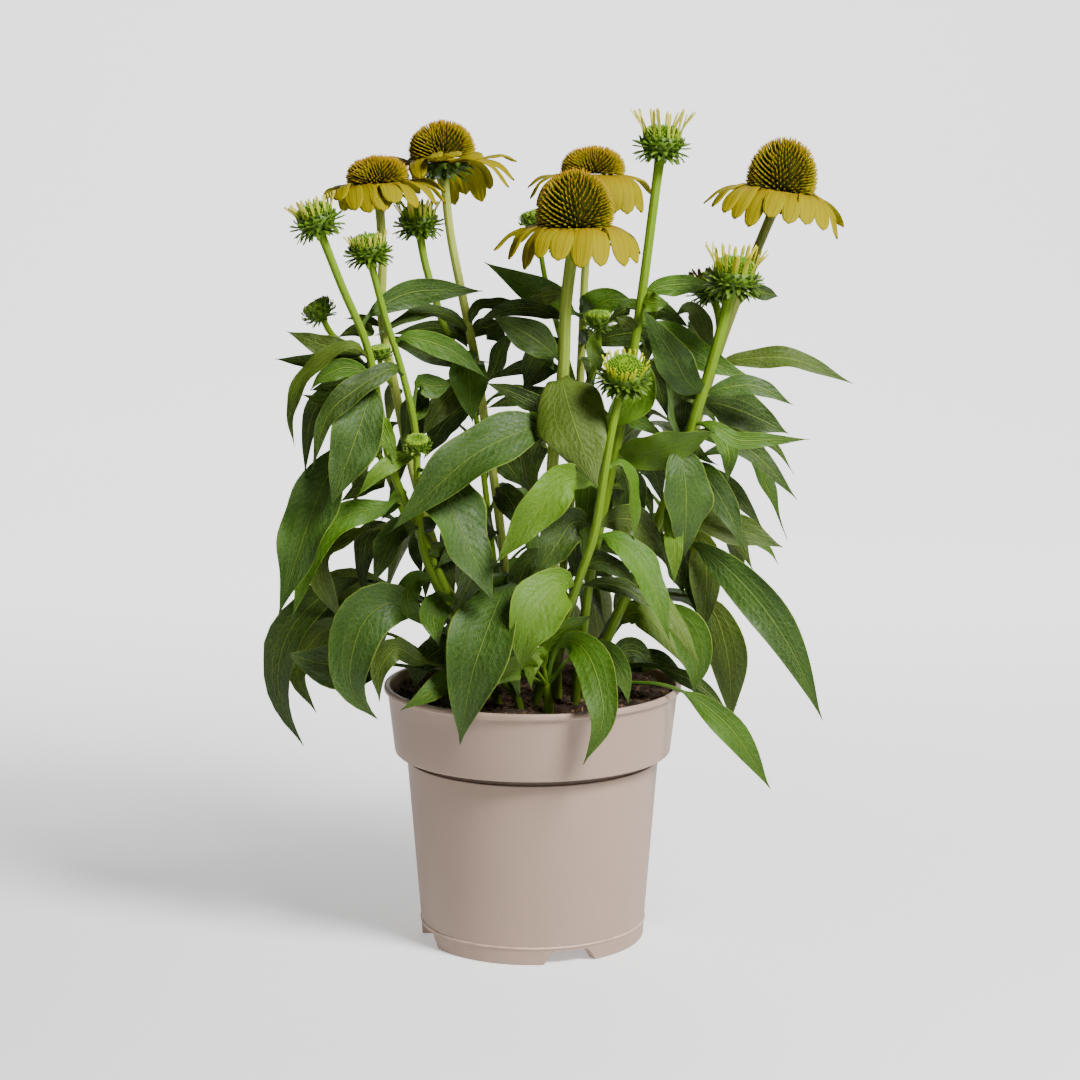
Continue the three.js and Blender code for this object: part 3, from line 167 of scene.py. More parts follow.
# The leaves: stem, height where it leaves the stem, its midrib's places from there to the tip,
# width, how far its face is turned to the eye, share that is bare petiole, tone.
LEAVES = (
    ("bud1", 354, [[-104, 345, -66], [-112, 322, -78], [-128, 278, -84]], 30, 0.85, 0.1, 4),
    ("bud2", 361, [[-90, 365, -66], [-112, 352, -78], [-130, 335, -82], [-140, 300.5, -84]], 15, 0.75, 0.08,
     0),
    ("bud1", 372, [[-117, 380.5, -62], [-142, 362, -68], [-153, 338, -70], [-151, 316, -68]], 13, 0.5, 0.08,
     3),
    ("bud1", 391, [[-100, 402, -42], [-75, 414, -32], [-31, 414.5, -25]], 17, 0.85, 0.15, 4),
    ("bud1", 374, [[-130, 379, -50], [-156, 389, -45]], 14, 0.85, 0.08, 3),
    ("bud1", 368, [[-135, 369, -38], [-164, 371.5, -32]], 12, 0.7, 0.08, 0),
    ("bloom2", 392, [[-108, 397, -8], [-119, 397, 0]], 6, 0.6, 0.08, 0),
    ("bud1", 362, [[-118, 366, -60], [-133, 360, -62], [-141, 351.5, -62]], 12, 0.85, 0.1, 1),
    ("bud1", 358, [[-125, 355, -50], [-141, 351.5, -46]], 11, 0.8, 0.08, 0),
    ("bud1", 349, [[-125, 344, -42], [-147, 349, -38]], 10, 0.8, 0.08, 1),
    ("bud1", 350, [[-125, 350, -32], [-140, 335, -32], [-144.5, 297, -32]], 12, 0.8, 0.1, 0),
    ("bud1", 338, [[-97, 331, -60], [-92, 320, -66], [-86, 306.5, -68]], 13, 0.9, 0.1, 2),
    ("bud2", 309, [[-85, 308, -62], [-98, 299, -70], [-111.5, 284, -72]], 11, 0.85, 0.08, 2),
    ("bud2", 382, [[-78, 385, -52], [-52, 377, -50], [-29, 359.5, -48]], 14, 0.85, 0.08, 1),
    ("bud2", 330, [[-75, 345, -44], [-72, 356, -42], [-64, 354, -42], [-50, 356, -40]], 15, 0.95, 0.5, 1),
    ("bloom1", 352, [[-48, 352, -8], [-58, 342, -14], [-70, 322, -18]], 18, 0.95, 0.1, 3),
    ("bloom1", 388, [[-52, 398, -6], [-72, 400, -18], [-100, 386, -34]], 12, 0.65, 0.08, 0),
    ("bloom1", 366, [[-58, 372, -4], [-78, 380, -4], [-99, 387, 0]], 12, 0.7, 0.08, 0),
    ("bloom1", 370, [[-40, 369, -14], [-40, 355, -22], [-38, 331, -24]], 23, 1, 0.1, 1),
    ("bloom1", 391, [[-37, 402, -2], [-28, 406, -6], [-8, 406, -10], [0, 404, -10]], 9, 0.75, 0.1, 0),
    ("bloom1", 384, [[-33, 391, 8], [-27, 392, 12], [-19, 396, 14]], 10, 0.95, 0.1, 0),
    ("bloom1", 350, [[-24, 366, 4], [-20, 378, 4], [-10, 391, 2]], 11, 0.95, 0.2, 0),
    ("bloom3", 336, [[5, 342, -50], [-12, 350, -50], [-30, 356.5, -48]], 12, 0.85, 0.08, 0),
    ("bloom3", 317, [[4, 326, -58], [-8, 325, -70], [-42, 307, -88], [-90, 262, -98]], 34, 0.85, 0.12, 4),
    ("bloom3", 358, [[19, 356, -62], [27, 328, -82], [41.6, 289, -90]], 42, 0.95, 0.06, 4),
    ("bloom3", 369, [[8, 379, -56], [-5, 388, -58], [-26, 399, -56]], 20, 0.85, 0.12, 0),
    ("bloom3", 384, [[8, 381, -42], [-1, 370, -40], [-6, 354, -40]], 14, 0.95, 0.1, 0),
    ("bloom3", 414, [[10, 412, -54], [-3, 409, -56]], 11, 0.95, 0.1, 3),
    ("bloom4", 398, [[16, 406, 0], [-6, 419, -20], [-31, 433, -26]], 20, 0.9, 0.15, 1),
    ("bloom4", 400, [[38, 403, 10], [50, 409, 4], [66, 407, 0]], 20, 0.85, 0.1, 1),
    ("bloom4", 378, [[50, 386, 20], [76, 388, 16], [96, 380, 12]], 15, 0.75, 0.1, 0),
    ("bud9", 383, [[40, 376, -26], [43, 362, -30]], 16, 1, 0.1, 2),
    ("bud5", 411, [[80, 417, -58], [98, 419, -52], [116, 418, -48]], 13, 0.85, 0.08, 1),
    ("bud5", 390, [[60, 395, -64], [52.5, 398, -66]], 11, 0.95, 0.1, 3),
    ("bud5", 408, [[77, 407, -66], [86.5, 407, -68]], 13, 1, 0.1, 2),
    ("bud5", 372, [[70, 362, -52], [65, 345, -56], [43, 325, -58]], 26, 0.95, 0.1, 2),
    ("bud5", 394, [[80, 391, -46], [94, 383, -46], [114, 369, -48], [141, 358.5, -50]], 17, 0.9, 0.12, 1),
    ("bud5", 312, [[80, 314, -64], [116, 326, -76]], 25, 0.92, 0.06, 2),
    ("bud5", 300, [[58, 298, -30], [62, 280, -28], [62, 252, -28]], 22, 0.95, 0.1, 0),
    ("bud6", 349, [[98, 358, -80], [90, 372, -84], [70, 403, -88]], 24, 0.95, 0.06, 4),
    ("bud6", 349, [[122, 353, -68], [142, 354, -68], [165.5, 342, -66]], 13, 0.85, 0.08, 4),
    ("bud6", 343, [[118, 343, -54], [138, 336, -50], [162.5, 324, -46]], 24, 0.85, 0.06, 0),
    ("bud6", 331, [[114, 329, -72], [130, 320, -74], [150, 320, -72], [176, 320.5, -68]], 10, 0.75, 0.08, 1),
    ("bud6", 345, [[99, 352, -44], [97, 340, -40], [95, 318, -38]], 17, 0.95, 0.1, 0),
    ("bud6", 316, [[93, 314, -78], [97, 290, -98], [96.6, 245.5, -102]], 31, 0.97, 0.08, 4),
    ("bud6", 325, [[118, 322, -58], [124, 312, -60], [123.7, 293, -60]], 12, 0.95, 0.25, 1),
    ("bud6", 322, [[120, 322, -44], [142, 310, -42], [168, 282, -40]], 14, 0.85, 0.1, 0),
    ("bud6", 326, [[130, 325, -30], [152, 317, -28], [166, 298, -26]], 8, 0.7, 0.1, 0),
    ("bud6", 285, [[88, 270, -62], [90, 250, -66], [89.5, 228, -66]], 12, 0.95, 0.1, 2),
    ("bloom5", 368, [[132, 371, -20], [165, 371, -26], [204, 355.5, -30]], 14, 0.8, 0.06, 3),
    ("bloom5", 404, [[138, 413, -22], [147, 413, -24], [156, 411, -24]], 10, 0.9, 0.45, 0),
    ("bloom5", 374, [[110, 388, -26], [105, 401, -30], [98, 404, -34], [90, 398, -38]], 14, 0.95, 0.2, 3),
    ("bloom5", 372, [[105, 386, -4], [98, 396, 0]], 16, 0.95, 0.1, 0),
    ("bloom5", 304, [[108, 298, -38], [122, 278, -46], [135, 249, -50]], 18, 0.95, 0.15, 4),
    ("bloom5", 308, [[115, 296, -22], [130, 284, -24], [146, 264, -26]], 13, 0.75, 0.15, 0),
    ("bloom5", 268, [[105, 268, -8], [130, 263, -10], [159, 252, -12]], 22, 0.95, 0.2, 3),
    ("bloom5", 290, [[118, 272, 4], [130, 256, 6], [140, 237, 6]], 14, 0.9, 0.2, 3),
    ("bloom5", 278, [[125, 266, 18], [148, 252, 20], [156, 241, 20]], 10, 0.8, 0.3, 1),
    ("bloom5", 252, [[100, 255, -22], [122, 240, -36], [146, 214, -46], [166, 183, -52], [184, 142, -54]], 24,
     0.92, 0.22, 4),
    ("bloom5", 258, [[104, 256, -14], [110, 236, -22], [107.7, 195, -24]], 20, 0.95, 0.2, 3),
    ("bloom5", 228, [[78, 222, -44], [92, 203, -56], [106.5, 175.5, -60]], 14, 0.95, 0.3, 1),
    ("bloom5", 216, [[80, 212, -22], [97, 199, -32], [104, 180, -36], [102, 159, -36]], 26, 1, 0.35, 1),
    ("bloom5", 222, [[90, 222, 0], [113, 214, -8], [124, 180, -14], [126, 140, -14]], 25, 1, 0.35, 3),
    ("bloom5", 205, [[58, 208, -20], [67, 211, -26], [80, 200, -34], [95, 178, -40]], 16, 0.92, 0.2, 1),
    ("bud8", 289, [[36, 293, -84], [22, 295, -90], [4, 276, -96], [-24, 241, -100]], 24, 0.93, 0.08, 2),
    ("bud8", 302, [[57, 305, -76], [63, 290, -78], [65, 257, -80]], 14, 0.5, 0.15, 1),
    ("bud8", 266, [[26, 268, -66], [14, 252, -72], [1, 233, -74]], 24, 0.93, 0.08, 0),
    ("bud8", 255, [[46, 259, -76], [62, 249, -84], [77, 224, -92], [87, 193, -96]], 21, 0.88, 0.1, 1),
    ("bud8", 264, [[52, 270, -62], [68, 266, -60], [85, 241, -58]], 18, 0.9, 0.1, 3),
    ("bud8", 228, [[18, 229, -72], [6, 216, -86], [-4, 196, -94], [-8, 174, -94]], 34, 0.97, 0.06, 2),
    ("bud8", 226, [[42, 229, -62], [60, 225, -66], [79, 212, -68]], 11, 0.85, 0.15, 0),
    ("bud8", 238, [[42, 243, -48], [56, 237, -44], [66, 226, -42]], 14, 0.9, 0.1, 0),
    ("bloom3", 250, [[0, 246, -34], [-8, 232, -38], [-12, 212, -38]], 15, 0.97, 0.1, 0),
    ("bloom1", 262, [[-38, 258, -24], [-50, 250, -32], [-62, 238, -36]], 17, 0.97, 0.1, 0),
    ("bloom1", 242, [[-34, 238, -34], [-44, 222, -48], [-52, 203, -54]], 15, 0.97, 0.15, 0),
    ("bloom1", 236, [[-13, 231, -42], [-20, 221, -78], [-33, 188, -104], [-40, 164, -110],
     [-46, 126.5, -110]], 40, 0.97, 0.3, 4),
    ("bloom1", 290, [[-16, 284, -18], [-8, 272, -24], [2, 260, -26]], 18, 0.95, 0.1, 0),
    ("bud2", 302, [[-64, 298, -66], [-56, 287, -76], [-43, 258, -86], [-24, 216, -92]], 35, 0.97, 0.08, 4),
    ("bud2", 264, [[-84, 264, -58], [-93, 248, -64], [-101, 229, -66]], 19, 0.97, 0.1, 0),
    ("bud2", 232, [[-74, 231, -58], [-79, 218, -62], [-66, 200, -64]], 15, 0.95, 0.1, 1),
    ("bud2", 219, [[-58, 217, -66], [-63, 207, -74], [-59, 189, -78]], 18, 0.97, 0.1, 1),
    ("bud1", 318, [[-112, 312, -54], [-128, 300, -60], [-142, 268, -66], [-161, 208.5, -70]], 32, 0.93, 0.15,
     4),
    ("bud1", 285, [[-96, 277, -54], [-118, 272, -58], [-136, 254, -62], [-153, 206, -64]], 20, 0.88, 0.1, 1),
    ("bud1", 270, [[-110, 262, -40], [-131, 251, -44], [-132, 228, -48], [-118, 202, -50]], 18, 0.95, 0.3, 3),
    ("bud1", 262, [[-100, 263, -34], [-107, 245, -34], [-106, 218, -34]], 14, 0.97, 0.2, 0),
    ("basal1", 168, [[-56, 200, -34], [-70, 210, -56], [-90, 217, -72], [-108, 203, -82], [-116, 172, -86],
     [-110, 155, -86], [-98, 143, -84]], 33, 1, 0.38, 4),
    ("basal1", 168, [[-55, 210, -24], [-93, 228, -34], [-120, 229, -40], [-150, 205, -46], [-161, 176, -48],
     [-158, 150, -48], [-145, 126, -48]], 24, 1, 0.45, 0),
    ("basal1", 165, [[-60, 173, -34], [-78, 176.5, -40], [-100, 178.5, -44], [-130, 178, -48],
     [-157, 185, -50]], 31, 1, 0.48, 0),
    ("basal1", 168, [[-70, 185.5, -12], [-92, 197.5, -14], [-130, 200, -18], [-149, 174, -22],
     [-137, 147, -22]], 18, 1, 0.45, 3),
    ("basal1", 168, [[-60, 213, -4], [-105, 229.5, 0], [-130, 226, -2], [-145, 212, -2], [-160, 193, -4]], 19,
     0.95, 0.5, 3),
    ("basal1", 168, [[-50, 205, 6], [-95, 224, 10], [-128, 214, 8], [-137, 201, 6], [-147, 190, 6]], 20, 0.95,
     0.5, 0),
    ("basal1", 165, [[-56, 176, -46], [-72, 181, -56], [-86, 188, -62], [-97, 174, -64], [-97, 154, -64]], 15,
     1, 0.45, 3),
    ("basal1", 168, [[-50, 188, -26], [-60, 186, -32], [-71, 176, -36], [-74, 161, -36]], 20, 0.95, 0.3, 0),
    ("basal2", 164, [[-14, 174, -66], [-48, 169, -76], [-66, 159, -84], [-84, 148.5, -86]], 17, 1, 0.35, 1),
    ("basal2", 164, [[0, 176, -70], [-10, 177, -78], [-29, 163, -86]], 15, 1, 0.3, 2),
    ("basal2", 164, [[5, 184, -66], [-1, 176, -74], [-1, 162, -76]], 11, 0.95, 0.3, 2),
    ("basal2", 164, [[7, 186, -56], [20, 200, -62], [38, 209, -64]], 17, 1, 0.3, 1),
    ("basal2", 164, [[14, 186, -58], [24, 193, -64], [35, 184, -78], [43, 162, -96], [44, 140, -104],
     [32, 114, -104]], 23, 0.92, 0.22, 1),
    ("basal2", 164, [[24, 182, -52], [42, 187, -58], [56, 173, -66], [61, 152, -70]], 17, 0.97, 0.3, 1),
    ("basal3", 166, [[60, 166, -34], [78, 165.5, -44], [92, 162, -48], [108, 153, -50], [128, 134, -52],
     [151, 98.5, -52]], 17, 0.95, 0.45, 1),
    ("basal3", 166, [[56, 184, 4], [66, 186, 8], [77, 177, 8]], 17, 1, 0.35, 0),
    ("basal3", 166, [[62, 178, 22], [80, 180, 28], [99, 168, 32]], 14, 0.97, 0.3, 0),
    ("basal3", 166, [[70, 178, -18], [96, 170, -26], [112, 159, -28], [126, 144, -30]], 10, 0.9, 0.4, 0),
)

# Small leaves deep in the plant, too small for solids: stem, height, midrib's places, width, tone.
INNER_LEAVES = (
    ("bloom1", 338, [[-42, 340, 8], [-56, 330, 12], [-69, 308, 14]], 19, 0),
    ("bloom1", 312, [[-22, 310, 6], [-14, 302, 10], [-6, 290, 12]], 17, 0),
    ("bloom1", 385, [[-32, 391, 10], [-24, 388, 14], [-14, 380, 16]], 14, 0),
    ("bloom1", 378, [[-44, 385, 6], [-62, 391, 8], [-90, 387, 10]], 10, 0),
    ("bloom1", 392, [[-48, 394, 8], [-45, 386, 12], [-41, 378, 14]], 10, 0),
    ("bloom3", 322, [[8, 321, -20], [4, 313, -16], [3, 296, -14]], 13, 0),
    ("bloom3", 374, [[14, 374, -36], [5, 366, -34], [-7, 351, -32]], 21, 0),
    ("bloom3", 350, [[8, 349, -34], [-8, 347, -32], [-30, 340, -30]], 11, 0),
    ("bloom3", 364, [[10, 366, -34], [-8, 366, -32], [-29, 358, -30]], 10, 0),
    ("bloom3", 396, [[12, 400, -40], [0, 404, -38], [-20, 402, -36], [-38, 392, -34]], 11, 0),
    ("bloom2", 358, [[-87, 354, 0], [-90, 346, 6], [-92, 328, 8]], 10, 0),
    ("bud2", 350, [[-80, 345, -30], [-80, 332, -26], [-83, 312, -24]], 8, 0),
    ("bud2", 330, [[-71, 342, -30], [-69, 350, -28], [-67, 336, -26]], 11, 0),
    ("bud2", 262, [[-67, 262, -20], [-73, 250, -18], [-70, 234, -16]], 17, 0),
    ("bud2", 246, [[-60, 250, -30], [-54, 240, -28], [-49, 222, -26]], 12, 0),
    ("bud2", 240, [[-62, 240, -20], [-67, 232, -18], [-68, 218, -16]], 11, 0),
    ("bud1", 296, [[-92, 298, -30], [-104, 292, -28], [-122, 281, -26]], 15, 0),
    ("bud1", 284, [[-84, 284, -24], [-89, 278, -22], [-96, 269, -20]], 10, 1),
    ("bud1", 386, [[-105, 389, -40], [-112, 390, -38], [-124, 385, -36]], 9, 0),
    ("bud5", 402, [[64, 404, -40], [57, 402, -38], [47, 394, -36]], 11, 0),
    ("bud5", 394, [[76, 402, -40], [86, 400, -38], [100, 391, -36]], 12, 1),
    ("bud5", 386, [[70, 384, -40], [72, 376, -38], [72, 366, -36]], 11, 0),
    ("bud5", 366, [[75, 364, -36], [81, 350, -34], [86, 333, -32]], 12, 0),
    ("bud5", 336, [[64, 333, -30], [74, 328, -28], [85, 321, -26]], 10, 1),
    ("bud5", 310, [[66, 308, -24], [77, 300, -22], [82, 280, -20]], 19, 0),
    ("bud5", 290, [[60, 292, -20], [72, 284, -18], [77, 268, -16]], 12, 0),
    ("bud6", 340, [[104, 340, -30], [112, 337, -28], [118, 328, -26]], 10, 0),
    ("bud6", 322, [[102, 316, -30], [110, 308, -28], [118, 304, -26]], 9, 1),
    ("bloom4", 262, [[26, 258, 4], [27, 248, 6], [25, 231, 8]], 14, 0),
    ("bloom4", 270, [[34, 262, 4], [45, 254, 2], [57, 245, 0]], 12, 1),
    ("bloom4", 236, [[36, 238, 4], [45, 236, 2], [54, 230, 0]], 10, 0),
    ("bloom4", 380, [[34, 386, 10], [38, 384, 8], [40, 372, 6]], 9, 0),
    ("bloom4", 372, [[36, 370, 10], [37, 360, 8], [38, 348, 6]], 9, 0),
    ("bloom5", 262, [[84, 256, -10], [89, 244, -12], [96, 222, -14]], 18, 0),
    ("bloom5", 236, [[66, 228, -6], [56, 222, -8], [51, 208, -10]], 10, 0),
)

# Leaves that spiral up the shoots at the back: shoot, number, turn of the first, lowest and highest
# height on the shoot, longest, shortest.
SPIRALS = (
    ("shoot1", 8, 95, 190, 335, 112, 74),
    ("shoot2", 8, 60, 195, 352, 112, 70),
    ("shoot3", 6, 150, 190, 296, 104, 76),
    ("shoot4", 7, 20, 190, 315, 104, 76),
    ("basal4", 5, 20, 178, 184, 118, 104),
)
# Their routes, out from the stem and up, and their width, as shares of their length; their tones.
SPIRAL_ROUTE, SPIRAL_WIDTH = ((0.22, 0.216), (0.55, 0.198), (0.84, -0.42)), 0.21
SPIRAL_TONES = (0, 1, 4)
# The same of the leaves at the shoots' tips, then the length of the first and what each next one lacks.
TIP_ROUTE, TIP_WIDTH = ((0.03, 0.0), (0.10, 0.40), (0.34, 0.80), (0.80, 0.86)), 0.26
TIP_LEAVES, TIP_LENGTH, TIP_LESS = 4, 30, 4
HEADS = {row[0]: row for row in BLOOMS + BUDS}
NODE_OF = {name: parent for name, parent, *_ in STEMS}


# ---- points and curves ----
def place(spot):
    """The real point, in mm, seen at x, h on the board, at a depth."""
    x, h, depth = spot
    v = h - BOARD_CENTRE
    board = np.array((x, v * math.sin(TILT), BOARD_CENTRE + v * math.cos(TILT)))
    return EYE + (board - EYE) * (depth - EYE[1]) / (board[1] - EYE[1])


def seen_height(point):
    """The height on the board at which the eye sees a real point."""
    out = point - EYE
    away = out[1] * math.cos(TILT) - out[2] * math.sin(TILT)
    above = out[1] * math.sin(TILT) + out[2] * math.cos(TILT)
    return BOARD_CENTRE + above / away * math.hypot(EYE[1], EYE[2] - BOARD_CENTRE)


def unit(v):
    return v / max(np.linalg.norm(v), 1e-9)


def gaps(points):
    """The lengths from each point of a row to the next."""
    return np.linalg.norm(np.diff(points, axis=0), axis=1)


def turns(sides):
    """Evenly spread turns about an axis, in radians."""
    return np.arange(sides) / sides * 2 * math.pi


def smooth(points, shares):
    """Places at shares of its length along a smooth curve through points."""
    p = np.array(points, float)
    p = np.vstack((2 * p[0] - p[1], p, 2 * p[-1] - p[-2]))
    spans = len(points) - 1
    t = np.linspace(0, spans, CURVE_SAMPLES)

    def at(t):
        i = np.clip(t.astype(int), 0, spans - 1)
        u = (t - i)[:, None]
        a, b, c, d = p[i], p[i + 1], p[i + 2], p[i + 3]
        m, n = (c - a) / 2, (d - b) / 2
        return b + m * u + (3 * (c - b) - 2 * m - n) * u**2 + (2 * (b - c) + m + n) * u**3

    run = np.concatenate(((0,), np.cumsum(gaps(at(t)))))
    return at(np.interp(np.asarray(shares) * run[-1], run, t))


def axis_of(lean):
    return unit(np.array((*lean, 1.0)))


def level(turn):
    """The level direction at a turn about the upright."""
    return np.array((math.cos(turn), math.sin(turn), 0))


def stem_lines():
    """The places between which each stem's solid is straight, from its head down."""
    coarse = {}
    for name, parent, route, end, *_ in STEMS:
        points = [place(spot) for spot in route]
        if name in HEADS:
            _, spot, lean, *_ = HEADS[name]
            points.insert(0, place(spot) - axis_of(lean) * HEAD_ROOT)
        steps = max(2, math.ceil(len(points) * STEM_STEPS))
        rooted = isinstance(end, list)
        points.append(np.array((*end, NECK_Z)) if rooted else on_stem(coarse, parent, end))
        coarse[name] = smooth(points, np.linspace(0, 1, steps + 1))
        if rooted:
            coarse[name] = np.vstack((coarse[name], (*end, FOOT_Z)))
    return coarse


def on_stem(coarse, name, height):
    """The point of a stem's centre line that is seen at a height."""
    line = coarse[name]
    heights = [seen_height(p) for p in line]
    i = next((k for k, h in enumerate(heights) if h < height), 1)
    i = min(max(i, 1), len(line) - 1)
    t = np.clip((heights[i - 1] - height) / (heights[i - 1] - heights[i]), 0, 1)
    return line[i - 1] + (line[i] - line[i - 1]) * t


# ---- meshes gathered part by part ----
def quads(n, m):
    """The faces between n rings of m points."""
    k, j = np.meshgrid(np.arange(n - 1), np.arange(m), indexing="ij")
    a, b = k * m + j, k * m + (j + 1) % m
    return np.stack((a, b, b + m, a + m), axis=-1).reshape(-1, 4).tolist()


class Skin:
    """Points, faces, a paint for each face and two marks for each point that the finishes read.

    A point's grain is (across, along, tone) and its span (length, width, seed), in mm and 0 to 1.
    """

    def __init__(self):
        self.points, self.faces, self.paints = [], [], []
        self.grain, self.span, self.count = [], [], 0

    def add(self, points, faces, paint=0, grain=(0, 0, 0), span=(1, 1, 0)):
        points = np.asarray(points, float).reshape(-1, 3)
        self.points.append(points)
        self.faces += [[v + self.count for v in face] for face in faces]
        self.paints += [paint] * len(faces)
        self.grain.append(np.broadcast_to(grain, (len(points), 3)))
        self.span.append(np.broadcast_to(span, (len(points), 3)))
        self.count += len(points)

    def loft(self, rings, paint=0, grain=(0, 0, 0), span=(1, 1, 0)):
        """Closes a run of rings, stations by points by 3, into a skin with a cap at both ends."""
        n, m = rings.shape[:2]
        faces = quads(n, m)
        faces.append(list(range(m))[::-1])
        faces.append([(n - 1) * m + i for i in range(m)])
        self.add(rings, faces, paint, np.asarray(grain).reshape(-1, 3), span)

    def piece(self, name, finishes):
        """An object of the mesh. Points outside BOX are moved in to it, which flattens a few tips by up to
        1.5 mm where the solids are too small."""
        mesh = bpy.data.meshes.new(name)
        points = np.clip(np.vstack(self.points) * MM, *BOX)
        mesh.from_pydata(points.tolist(), [], self.faces)
        for finish in finishes:
            mesh.materials.append(finish)
        mesh.polygons.foreach_set("material_index", self.paints)
        mesh.polygons.foreach_set("use_smooth", [True] * len(self.faces))
        for key, rows in (("grain", self.grain), ("span", self.span)):
            layer = mesh.attributes.new(key, "FLOAT_VECTOR", "POINT")
            layer.data.foreach_set("vector", np.vstack(rows).astype(np.float32).ravel())
        mesh.update()
        piece = bpy.data.objects.new(name, mesh)
        bpy.context.scene.collection.objects.link(piece)
        return piece


def frames(points, hint):
    """The direction along a curve, across it and up from it, at each of its points."""
    along = np.gradient(points, axis=0)
    along /= np.maximum(np.linalg.norm(along, axis=1), 1e-9)[:, None]
    across = np.cross(np.broadcast_to(hint, along.shape), along)
    across /= np.maximum(np.linalg.norm(across, axis=1), 1e-9)[:, None]
    for k in range(1, len(across)):
        if across[k] @ across[k - 1] < 0:
            across[k] *= -1
    return along, across, np.cross(along, across)


def sections(points, across, up, x, y):
    """A ring of points round each place of a curve, x across from it and y up from it."""
    return points[:, None, :] + across[:, None, :] * x[..., None] + up[:, None, :] * y[..., None]


def ribbon(skin, points, hint, halves, lift, thick, columns, paint, tone, seed, notch=0.0, sway=0.0,
           margin=0.0):
    """A thin closed blade along points: lift(v, k) is its relief, v from -1 at one edge to 1.

    The tone of its lower face is lowered by UNDER, so that a finish can tell the two faces apart.
    A margin of 1 draws its columns close together towards both edges.
    """
    along, across, up = frames(points, hint)
    n = len(points)
    share = np.linspace(0, 1, n)[:, None]
    v = np.linspace(-1, 1, columns + 1)
    v = v + margin * (np.sin(v * math.pi / 2) - v)
    v = np.concatenate((v, v[-2:0:-1]))[None, :]
    face = np.concatenate((np.ones(columns + 1), -np.ones(columns - 1)))[None, :]
    body = np.broadcast_to(thick, n)[:, None] / 2 * np.sqrt(np.maximum(1 - v**2, 0)) * face
    height = lift(v, share) + body
    wavy = 1 + sway * np.sin(share * (9 + 7 * seed) + 5 * np.sign(v) + 40 * seed) * np.sin(share * math.pi)
    rings = sections(points, across, up, np.asarray(halves)[:, None] * v * wavy, height)
    if notch:
        dent = notch * np.clip((share - 0.9) / 0.1, 0, 1) ** 2 * (0.5 + 0.5 * np.cos(v * 2 * math.pi))
        rings -= along[:, None, :] * dent[..., None]
    grain = np.stack(np.broadcast_arrays(v, share, tone - UNDER * (face < 0)), axis=-1)
    skin.loft(rings, paint, grain, (gaps(points).sum(), 2 * max(halves), seed))


def tube(skin, points, radii, sides, paint=0, tone=0, seed=0, ribs=0.0):
    """A round stem along points, with fine ridges along it."""
    _, across, up = frames(points, np.array((0.2, 1.0, 0.05)))
    turn = turns(sides)
    radius = np.asarray(radii)[:, None] * (1 + ribs * np.cos(turn * sides / 2))[None, :]
    rings = sections(points, across, up, radius * np.cos(turn), radius * np.sin(turn))
    share = np.linspace(0, 1, len(points))[:, None]
    grain = np.stack(np.broadcast_arrays(turn[None, :] / math.pi - 1, share, float(tone)), axis=-1)
    skin.loft(rings, paint, grain, (gaps(points).sum(), 2 * max(radii), seed))


# ---- nodes written as expressions ----
class Wire:
    """A node's output socket; arithmetic on it adds Math nodes to its tree."""

    def __init__(self, tree, socket):
        self.tree, self.socket = tree, socket

    def math(self, operation, *others, clamp=False):
        node = self.tree.nodes.new("ShaderNodeMath")
        node.operation, node.use_clamp = operation, clamp
        for slot, value in zip(node.inputs, (self, *others)):
            feed(self.tree, slot, value)
        return Wire(self.tree, node.outputs[0])

    def __add__(self, other):
        return self.math("ADD", other)

    def __sub__(self, other):
        return self.math("SUBTRACT", other)

    def __mul__(self, other):
        return self.math("MULTIPLY", other)

    def __truediv__(self, other):
        return self.math("DIVIDE", other)

    def __pow__(self, other):
        return self.math("POWER", other)

    def __rsub__(self, other):
        return self.math("MULTIPLY_ADD", -1.0, other)

    __radd__, __rmul__ = __add__, __mul__

    def clamped(self):
        return self.math("ADD", 0.0, clamp=True)

    def between(self, low, high):
        """0 below low, 1 above high, and smooth between."""
        node = self.tree.nodes.new("ShaderNodeMapRange")
        node.interpolation_type = "SMOOTHSTEP"
        for key, value in zip(("Value", "From Min", "From Max"), (self, low, high)):
            feed(self.tree, node.inputs[key], value)
        return Wire(self.tree, node.outputs[0])


def feed(tree, slot, value):
    """Links a wire to a socket, or sets the socket's own value."""
    if isinstance(value, Wire):
        tree.links.new(value.socket, slot)
    else:
        slot.default_value = value


